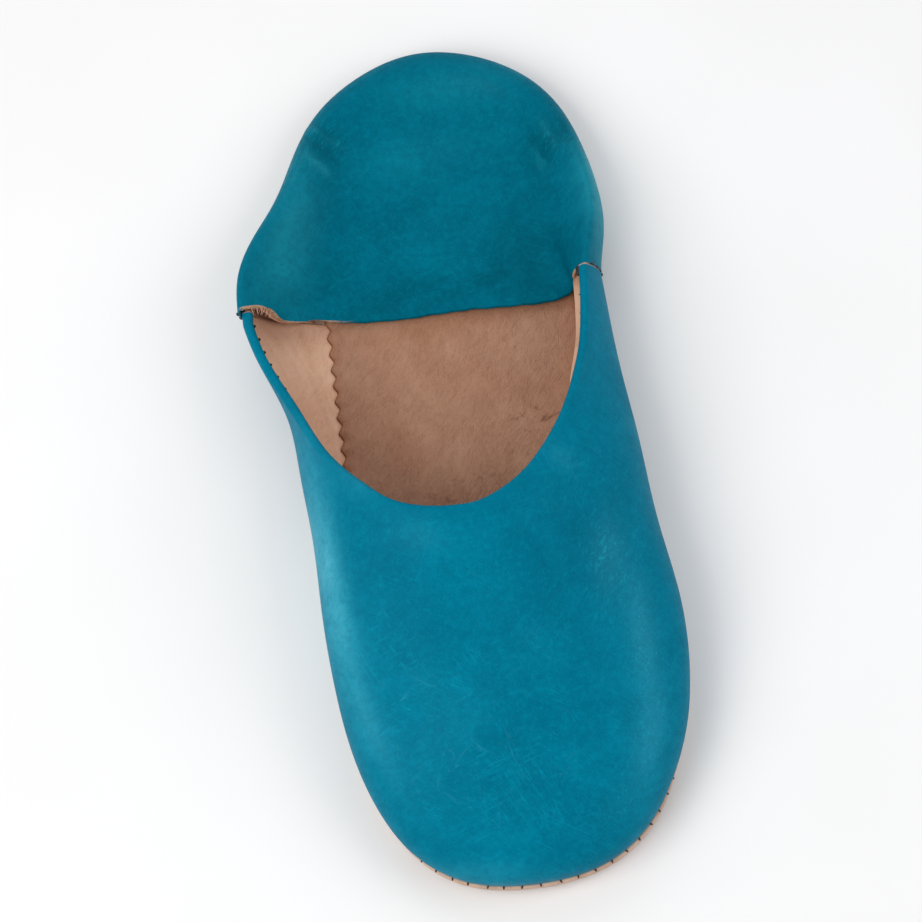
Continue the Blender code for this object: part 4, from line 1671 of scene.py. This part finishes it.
class DyeCloud(Effect):
    """Unevenness of hand-brushed dye: broad clouds, brush streaks and fine mottling, each 0 to 1."""

    INPUTS = {"At": None, "Brushed": None, "Size": 0.03}
    OUTPUTS = ("Cloud", "Streak", "Mottle")

    def fill(self, graph: Graph, given: dict[str, Socket]) -> dict[str, Socket]:
        """Broad clouds are two warped noises; streaks are a noise stretched along one direction.

        Args:
            graph, given: the group's graph, and its inputs by name.

        Returns:
            A socket for each output.
        """
        at, size = given["At"], given["Size"]
        frequency = graph.math("DIVIDE", 1.0, size)
        broad = graph.noise(at, frequency, 4.0, 0.62, 0.8)
        finer = graph.noise(at, graph.times(frequency, 4.3), 4.0, 0.65, 0.4)
        cloud = graph.plus(graph.times(broad, 0.62), graph.times(finer, 0.38))
        along = graph.noise(given["Brushed"], 1.0, 5.0, 0.65, 0.6)
        mottle = graph.noise(at, 560.0, 6.0, 0.8, 0.3)
        return {
            "Cloud": graph.band(cloud, 0.34, 0.66),
            "Streak": graph.band(along, 0.36, 0.68),
            "Mottle": graph.band(mottle, 0.32, 0.68),
        }


class LeatherGrain(Effect):
    """Leather grain: fine rounded cells with pores, as a height in millimetres and their peaks' mask."""

    INPUTS = {"At": None, "Size": 0.0009, "Depth": 0.05}
    OUTPUTS = ("Height", "Peak")

    def fill(self, graph: Graph, given: dict[str, Socket]) -> dict[str, Socket]:
        """The cells are warped by noise, and their edges sink between crowned middles.

        Args:
            graph, given: the group's graph, and its inputs by name.

        Returns:
            A socket for each output.
        """
        at, size = given["At"], given["Size"]
        frequency = graph.math("DIVIDE", 1.0, size)
        warp = graph.node("ShaderNodeTexNoise", Vector=at, Scale=graph.times(frequency, 0.7))
        shift = graph.node("ShaderNodeVectorMath", {"operation": "SCALE"}, Scale=0.0006)
        graph.put(shift.inputs[0], warp.outputs["Color"])
        moved = graph.node("ShaderNodeVectorMath", {"operation": "ADD"})
        graph.put(moved.inputs[0], at)
        graph.put(moved.inputs[1], shift.outputs[0])
        cell = graph.cells(moved.outputs[0], frequency)
        crown = graph.band(cell, 0.1, 0.75, 1.0, 0.0)
        uneven = graph.noise(at, graph.times(frequency, 0.33), 3.0, 0.6)
        pore = graph.band(graph.noise(at, graph.times(frequency, 2.6), 2.0, 0.6), 0.58, 0.75)
        height = graph.less(graph.times(crown, uneven), graph.times(pore, 0.3))
        peak = graph.times(graph.band(crown, 0.35, 0.95), graph.band(uneven, 0.36, 0.62))
        return {"Height": graph.times(height, given["Depth"]), "Peak": peak}


class HairlineScratches(Effect):
    """Fine light scratches in several directions, as a mask of 0 to 1."""

    INPUTS = {"At": None, "Amount": 1.0}
    OUTPUTS = ("Scratch",)

    def fill(self, graph: Graph, given: dict[str, Socket]) -> dict[str, Socket]:
        """A scratch lies where a long thin noise passes its middle value, and clouds break it up.

        Args:
            graph, given: the group's graph, and its inputs by name.

        Returns:
            A socket for each output.
        """
        total: Value = 0.0
        directions = ((38.0, 0.034, 0.0034), (-28.0, 0.026, 0.0030), (76.0, 0.030, 0.0040))
        for turn, length, width in directions:
            stretched = graph.stretched(given["At"], (length, width, 0.030), turn)
            line = graph.math("ABSOLUTE", graph.less(graph.noise(stretched, 1.0, 1.5, 0.5, 1.1), 0.5))
            thin = graph.band(line, 0.0, 0.011, 1.0, 0.0)
            broken = graph.stretched(given["At"], (0.020, 0.0050, 0.02), turn)
            here = graph.band(graph.noise(broken, 1.0, 2.0, 0.5), 0.46, 0.70)
            total = graph.larger(total, graph.times(thin, here))
        return {"Scratch": graph.times(total, given["Amount"])}


class Scuffs(Effect):
    """Light rubbed fibres in bunches, as a mask of 0 to 1."""

    INPUTS = {"At": None}
    OUTPUTS = ("Scuff",)

    def fill(self, graph: Graph, given: dict[str, Socket]) -> dict[str, Socket]:
        """Each of three directions has a fine noise stretched along it, shown in its own clouds.

        Args:
            graph, given: the group's graph, and its inputs by name.

        Returns:
            A socket for each output.
        """
        total: Value = 0.0
        for turn, seed in ((32.0, 0.11), (-18.0, 0.37), (64.0, 0.73)):
            stretched = graph.stretched(given["At"], (0.0075, 0.00055, 0.006), turn)
            hairs = graph.noise(stretched, 1.0, 4.0, 0.6, 0.7)
            moved = graph.node("ShaderNodeMapping", Vector=given["At"], Location=(seed, 0.0, seed))
            bunch = graph.band(graph.noise(moved.outputs[0], 55.0, 3.0, 0.6), 0.46, 0.66)
            hair = graph.times(graph.band(hairs, 0.52, 0.70), bunch)
            total = graph.larger(total, hair)
        return {"Scuff": total}


class FineCreases(Effect):
    """Fine wrinkles of soft leather, a net of shallow troughs, as a height in millimetres."""

    INPUTS = {"At": None, "Depth": 0.1}
    OUTPUTS = ("Height",)

    def fill(self, graph: Graph, given: dict[str, Socket]) -> dict[str, Socket]:
        """A trough lies where a stretched, warped noise passes its middle value.

        Args:
            graph, given: the group's graph, and its inputs by name.

        Returns:
            A socket for each output.
        """
        total: Value = 0.0
        for turn, length, width in ((-48.0, 0.010, 0.0024), (-74.0, 0.008, 0.0026)):
            at = graph.stretched(given["At"], (length, width, 0.02), turn)
            line = graph.math("ABSOLUTE", graph.less(graph.noise(at, 1.0, 3.0, 0.6, 1.6), 0.5))
            total = graph.larger(total, graph.band(line, 0.0, 0.11, 1.0, 0.0))
        return {"Height": graph.times(graph.times(total, -1.0), given["Depth"])}


DYE_CLOUD = DyeCloud("dye_cloud")
GRAIN = LeatherGrain("leather_grain")
SCRATCHES = HairlineScratches("hairline_scratches")
SCUFFS = Scuffs("scuffs")
CREASES = FineCreases("fine_creases")


def new_material(name: str) -> tuple[Material, Graph, Node, Socket]:
    """A material with its shader.

    Args:
        name: the material's name.

    Returns:
        The material, its graph, its Principled shader and the piece's object coordinates.
    """
    material = bpy.data.materials.new(name)
    material.use_nodes = True
    graph = Graph(material.node_tree)
    shader = material.node_tree.nodes["Principled BSDF"]
    at = graph.node("ShaderNodeTexCoord").outputs["Object"]
    return material, graph, shader, at


def relief(graph: Graph, shader: Node, height: Value) -> None:
    """Feeds a height in millimetres to the shader's normal, through a bump."""
    bump = graph.node("ShaderNodeBump", Height=height, Distance=MM, Strength=1.0)
    graph.put(shader.inputs["Normal"], bump.outputs[0])


@dataclass(frozen=True)
class DyedLeather:
    """Hand-dyed leather with a satin finish: cloudy colour, wear, painted highlights, glints and crease
    shade, scratches and raw cut edges.
    """

    name: str
    deep: tuple
    mid: tuple
    light: tuple
    pale: tuple
    darkest: tuple
    raw: tuple = srgb(214, 172, 140)
    roughness: float = 0.5
    coat: float = 0.02
    worn_wax: float = 0.16
    pebble_wax: float = 0.06
    coat_roughness: float = 0.34
    gloss: float = 0.10
    gloss_tint: tuple = (0.0, 0.7, 1.0, 1.0)
    refraction: float = 1.34
    cloud_size: float = 0.022
    brush: tuple = (0.020, 0.0022, 0.012)
    brush_turn: float = 0.0
    streaks: float = 0.35
    scratches: float = 0.5
    grain: float = 0.05
    creases: float = 0.10

    def material(self) -> Material:
        """Builds the finish.

        The colour goes from mid to deep with the clouds, then to the light tone where the piece has wear,
        a painted highlight, scratches or painted glints on its grain, to the darkest in darker zones and
        in the painted shade of crease troughs, and to raw leather on cut edges.

        Returns:
            The material.
        """
        material, graph, shader, at = new_material(self.name)
        brushed = graph.stretched(at, self.brush, self.brush_turn)
        dye = DYE_CLOUD.place(graph, At=at, Brushed=brushed, Size=self.cloud_size)
        wear_and_highlight, deep, rim = graph.value("wear_and_highlight"), graph.value("deep"), graph.value("rim")
        grain_glint, scuffed, raw = graph.value("grain_glint"), graph.value("scuffed"), graph.value("raw")
        grain = GRAIN.place(graph, At=at, Size=0.0008, Depth=self.grain)
        scratch = SCRATCHES.place(graph, At=at, Amount=self.scratches)["Scratch"]
        hairs = SCUFFS.place(graph, At=at)["Scuff"]
        creases = CREASES.place(graph, At=at, Depth=self.creases)["Height"]
        crinkled = graph.plus(graph.value("crinkled"), 0.12)
        lines = graph.times(graph.times(creases, crinkled), -0.6 / self.creases)
        # Darkest tone in the darker zones, which on the quarter include painted shade in the crease
        # troughs.
        darker_zones_and_crease_shade = graph.times(deep, graph.band(dye["Cloud"], -0.3, 1.0, 0.35, 0.95))
        uneven = graph.times(dye["Mottle"], 0.12, graph.times(dye["Cloud"], -0.3, 0.9))
        # Lighter where the piece has wear or a painted highlight.
        patchy = graph.times(wear_and_highlight, uneven)
        # Painted glints: grain tops turned light and pale where the glint mask is.
        glint_dots = graph.times(graph.times(grain["Peak"], 0.75, 0.25), grain_glint)
        marks = graph.times(scratch, graph.times(scuffed, 0.22, 0.04))
        fine = graph.less(dye["Mottle"], 0.5)
        fibre = graph.noise(at, 2600.0, 3.0, 0.7)
        shaded_raw = (*(0.55 * part for part in self.raw[:3]), 1.0)
        fibrous = graph.mix(graph.band(fibre, 0.35, 0.7), self.raw, shaded_raw)
        cut = graph.times(raw, graph.band(graph.noise(at, 500.0, 2.0), 0.3, 0.45, 0.55, 1.0))
        colour = graph.coated(
            self.mid,
            (graph.times(dye["Cloud"], 0.85), self.deep),
            (graph.times(dye["Streak"], self.streaks), self.deep),
            (darker_zones_and_crease_shade, self.darkest),
            (patchy, self.light),
            (graph.times(patchy, patchy), self.pale),
            (graph.times(grain["Peak"], 0.14), self.light),
            (graph.times(glint_dots, 0.5), self.light),
            (graph.times(glint_dots, 0.10), self.pale),
            (marks, self.pale),
            (graph.times(hairs, graph.times(scuffed, 0.6, 0.28)), self.light),
            (graph.larger(graph.times(fine, 0.42), 0.0), self.light),
            (graph.larger(graph.times(fine, -0.5), 0.0), self.darkest),
            (graph.times(rim, 0.25), self.deep),
            (lines, self.darkest),
            (cut, fibrous),
        )
        graph.put(shader.inputs["Base Color"], colour)
        rough = graph.times(dye["Cloud"], 0.10, self.roughness - 0.05)
        for value, change in ((marks, 0.15), (raw, 0.3), (wear_and_highlight, -0.06)):
            rough = graph.times(value, change, rough)
        graph.put(shader.inputs["Roughness"], rough)
        waxed = graph.plus(graph.times(wear_and_highlight, self.worn_wax), graph.times(grain_glint, self.pebble_wax))
        polish = graph.plus(waxed, self.coat)
        graph.put(shader.inputs["Coat Weight"], graph.times(graph.less(1.0, raw), polish))
        shader.inputs["Coat Roughness"].default_value = self.coat_roughness
        shader.inputs["Specular IOR Level"].default_value = self.gloss
        shader.inputs["Specular Tint"].default_value = self.gloss_tint
        shader.inputs["IOR"].default_value = self.refraction
        height = graph.times(creases, crinkled, grain["Height"])
        height = graph.plus(height, graph.times(graph.noise(at, 130.0, 3.0, 0.5), 0.28))
        for value, depth in ((dye["Mottle"], 0.05), (scratch, -0.012), (graph.times(fibre, raw), 0.12)):
            height = graph.times(value, depth, height)
        relief(graph, shader, height)
        return material


@dataclass(frozen=True)
class TannedLeather:
    """Undyed vegetable-tanned leather: uneven tan, pores, fine wrinkles, stains, shade and dark cut edges,
    partly painted shadow.
    """

    name: str
    light: tuple
    mid: tuple
    dark: tuple
    edge: tuple = srgb(126, 74, 38)
    stain: tuple = srgb(118, 74, 48)
    shade: tuple = srgb(140, 84, 50)
    roughness: float = 0.62
    wrinkle: float = 0.06
    grain: float = 0.05

    def material(self) -> Material:
        """Builds the finish: three tans in clouds and mottling, then stains, shade and dark edges, the
        edges partly painted shadow.

        Returns:
            The material.
        """
        material, graph, shader, at = new_material(self.name)
        brushed = graph.stretched(at, (0.035, 0.006, 0.02), 70.0)
        dye = DYE_CLOUD.place(graph, At=at, Brushed=brushed, Size=0.026)
        grain = GRAIN.place(graph, At=at, Size=0.0011, Depth=self.grain)
        creases = CREASES.place(graph, At=at, Depth=self.wrinkle)["Height"]
        blot = graph.band(graph.noise(at, 330.0, 4.0, 0.62, 0.6), 0.54, 0.66)
        colour = graph.coated(
            self.light,
            (dye["Cloud"], self.mid),
            (graph.times(dye["Streak"], 0.35), self.dark),
            (graph.times(dye["Mottle"], 0.16), self.dark),
            (graph.times(graph.less(1.0, grain["Peak"]), 0.07), self.dark),
            (graph.times(creases, -0.19 / self.wrinkle), self.light),
            (graph.times(graph.value("stain"), graph.times(blot, 0.85)), self.stain),
            (graph.times(graph.value("shade"), 0.6), self.shade),
            (graph.value("edge"), self.edge),
        )
        graph.put(shader.inputs["Base Color"], colour)
        rough = graph.times(dye["Cloud"], 0.12, self.roughness - 0.06)
        graph.put(shader.inputs["Roughness"], rough)
        slack = graph.times(graph.noise(at, 160.0, 3.0, 0.55), 0.16)
        relief(graph, shader, graph.plus(graph.plus(grain["Height"], creases), slack))
        return material


@dataclass(frozen=True)
class WaxedThread:
    """Dark waxed linen thread, with the twist of its plies."""

    name: str = "waxed_thread"
    colour: tuple = srgb(24, 18, 16)
    light: tuple = srgb(70, 52, 40)

    def material(self) -> Material:
        """Builds the finish: a dark brown-black, lighter on the plies.

        Returns:
            The material.
        """
        material, graph, shader, at = new_material(self.name)
        twist = graph.stretched(at, (0.0004, 0.0011, 0.0004), 35.0)
        ply = graph.band(graph.noise(twist, 1.0, 2.0), 0.4, 0.7)
        graph.put(shader.inputs["Base Color"], graph.mix(graph.times(ply, 0.5), self.colour, self.light))
        graph.put(shader.inputs["Roughness"], graph.band(ply, 0.0, 1.0, 0.45, 0.65))
        relief(graph, shader, graph.times(ply, 0.05))
        return material


VAMP_DYE = DyedLeather(
    "vamp_dye", deep=srgb(0, 108, 134), mid=srgb(0, 123, 150), light=srgb(6, 148, 174),
    pale=srgb(86, 184, 205), darkest=srgb(0, 97, 122), streaks=0.3,
)
QUARTER_DYE = DyedLeather(
    "quarter_dye", deep=srgb(0, 97, 119), mid=srgb(0, 112, 136), light=srgb(4, 132, 152),
    pale=srgb(38, 164, 180), darkest=srgb(0, 80, 98), roughness=0.56, coat=0.01,
    brush=(0.016, 0.0024, 0.012), brush_turn=8.0, scratches=0.3,
)
SOCK_TAN = TannedLeather(
    "sock_tan", srgb(178, 134, 106), srgb(162, 115, 87), srgb(140, 94, 66), wrinkle=0.09, grain=0.08
)
LINING_TAN = TannedLeather(
    "lining_tan", srgb(236, 193, 163), srgb(218, 170, 138), srgb(188, 132, 98), grain=0.03
)
SOLE_TAN = TannedLeather(
    "sole_tan", srgb(222, 192, 170), srgb(200, 164, 138), srgb(164, 122, 94), roughness=0.68
)


@dataclass(frozen=True)
class Lamp:
    """A square soft light that faces the slipper."""

    name: str
    place: tuple[float, float, float]
    size: float
    watts: float
    tint: tuple[float, float, float] = (1.0, 1.0, 1.0)

    def hang(self, target: Vector) -> None:
        """Hangs the light at its place, turned to the target.

        Args:
            target: where the light faces.
        """
        lamp = bpy.data.lights.new(self.name, "AREA")
        lamp.shape, lamp.size, lamp.energy, lamp.color = "SQUARE", self.size, self.watts, self.tint
        hung = bpy.data.objects.new(self.name, lamp)
        place = Vector(self.place)
        turned = (place - target).to_track_quat("Z", "Y").to_matrix().to_4x4()
        hung.matrix_world = Matrix.Translation(place) @ turned
        bpy.context.scene.collection.objects.link(hung)


@dataclass(frozen=True)
class Studio:
    """The pale floor, the soft lights and the camera at the photograph's angle."""

    azimuth: float = 4.5
    elevation: float = 70.0
    roll: float = 12.6
    distance: float = 1.0
    lens: float = 136.0
    film: float = 36.0
    nearest: float = 0.01
    target: tuple = (-0.0035, -0.0015, 0.012)
    floor_side: float = 4.0
    floor_drop: float = 0.2 * MM
    floor_tones: tuple = (srgb(243, 242, 240), srgb(246, 245, 244))
    floor_roughness: float = 0.9
    sky: tuple = (0.93, 0.95, 1.0, 1.0)
    sky_strength: float = 0.5

    LAMPS = (
        Lamp("key", (-0.75, -0.35, 0.95), 0.9, 8.8, (1.0, 0.99, 0.97)),
        Lamp("fill", (0.85, -0.15, 0.80), 0.8, 3.6, (0.96, 0.98, 1.0)),
        Lamp("back", (-0.10, 0.95, 0.90), 0.8, 2.6),
    )

    def camera(self) -> None:
        """Stands the camera off the target at its azimuth and elevation, and rolls it."""
        turn, tilt, roll = (math.radians(angle) for angle in (self.azimuth, self.elevation, self.roll))
        flat = math.cos(tilt)
        back = Vector((math.sin(turn) * flat, -math.cos(turn) * flat, math.sin(tilt)))
        right = Vector((math.cos(turn), math.sin(turn), 0.0))
        up = back.cross(right)
        across = right * math.cos(roll) - up * math.sin(roll)
        upward = right * math.sin(roll) + up * math.cos(roll)
        lens = bpy.data.cameras.new("camera")
        lens.lens, lens.sensor_width, lens.clip_start = self.lens, self.film, self.nearest
        camera = bpy.data.objects.new("camera", lens)
        axes = Matrix((across, upward, back)).transposed().to_4x4()
        camera.matrix_world = Matrix.Translation(Vector(self.target) + back * self.distance) @ axes
        bpy.context.scene.collection.objects.link(camera)
        bpy.context.scene.camera = camera

    def floor(self) -> None:
        """Lays a plain pale floor just under the sole."""
        half = self.floor_side / 2
        corners = [(-half, -half), (half, -half), (half, half), (-half, half)]
        mesh = bpy.data.meshes.new("floor")
        mesh.from_pydata([(x, y, -self.floor_drop) for x, y in corners], [], [(0, 1, 2, 3)])
        material, graph, shader, at = new_material("pale_floor")
        tone = graph.band(graph.noise(at, 9.0, 2.0), 0.3, 0.7)
        graph.put(shader.inputs["Base Color"], graph.mix(tone, *self.floor_tones))
        shader.inputs["Roughness"].default_value = self.floor_roughness
        mesh.materials.append(material)
        floor = bpy.data.objects.new("floor", mesh)
        bpy.context.scene.collection.objects.link(floor)

    def build(self) -> None:
        """Sets up the whole stage."""
        self.camera()
        self.floor()
        for lamp in self.LAMPS:
            lamp.hang(Vector(self.target))
        world = bpy.data.worlds.new("studio")
        world.use_nodes = True
        sky = world.node_tree.nodes["Background"]
        sky.inputs["Color"].default_value = self.sky
        sky.inputs["Strength"].default_value = self.sky_strength
        bpy.context.scene.world = world
        bpy.context.scene.view_settings.view_transform = "Standard"


def main() -> None:
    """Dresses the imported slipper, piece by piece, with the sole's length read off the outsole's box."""
    logging.basicConfig(level=logging.INFO, format="%(name)s: %(message)s")
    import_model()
    sole_low, sole_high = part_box("outsole")
    last = Last(sole_length=sole_high[1] - sole_low[1])
    Studio().build()
    vamp = Vamp(VampForm(last))
    quarter = Quarter(QuarterForm(last))
    insole, outsole = Insole(last), Outsole(last)
    vamp_dye, quarter_dye = VAMP_DYE.material(), QUARTER_DYE.material()
    sock_tan, lining_tan, sole_tan = SOCK_TAN.material(), LINING_TAN.material(), SOLE_TAN.material()
    thread = WaxedThread().material()
    outsole.build(sole_tan)
    insole.sheet().build(sock_tan, Slot.LINING, "insole")
    vamp.shell().build(vamp_dye, Slot.VAMP, "vamp")
    vamp.lining_sheet().build(lining_tan, Slot.LINING)
    upper = quarter.shell()
    upper.build(quarter_dye, Slot.QUARTER, "heel_quarter")
    quarter.flap_lining().build(lining_tan, Slot.LINING)
    quarter.wall_lining().build(lining_tan, Slot.LINING)
    taper = np.array([0.35, 1.0, 1.0, 1.0, 0.35])
    threads("rim_stitches", *vamp.stitch_paths(), taper * vamp.thread, thread, Slot.VAMP)
    threads("notch_knot", *vamp.knot_paths(), taper * 1.6 * vamp.thread, thread, Slot.QUARTER)
    fray = np.array([1.0, 1.0, 0.8, 0.6, 0.3]) * 0.14 * MM
    threads("edge_fray", *quarter.fray_paths(upper), fray, lining_tan, Slot.LINING)
    threads("side_seam_stitches", *quarter.seam_stitches(), taper * vamp.thread, thread, Slot.QUARTER)
    taper = np.array([0.5, 1.0, 1.0, 1.0, 1.0, 0.5])
    threads("sole_stitches", *outsole.stitch_paths(), taper * outsole.thread, thread, Slot.SOLE)


if __name__ == "__main__":
    main()
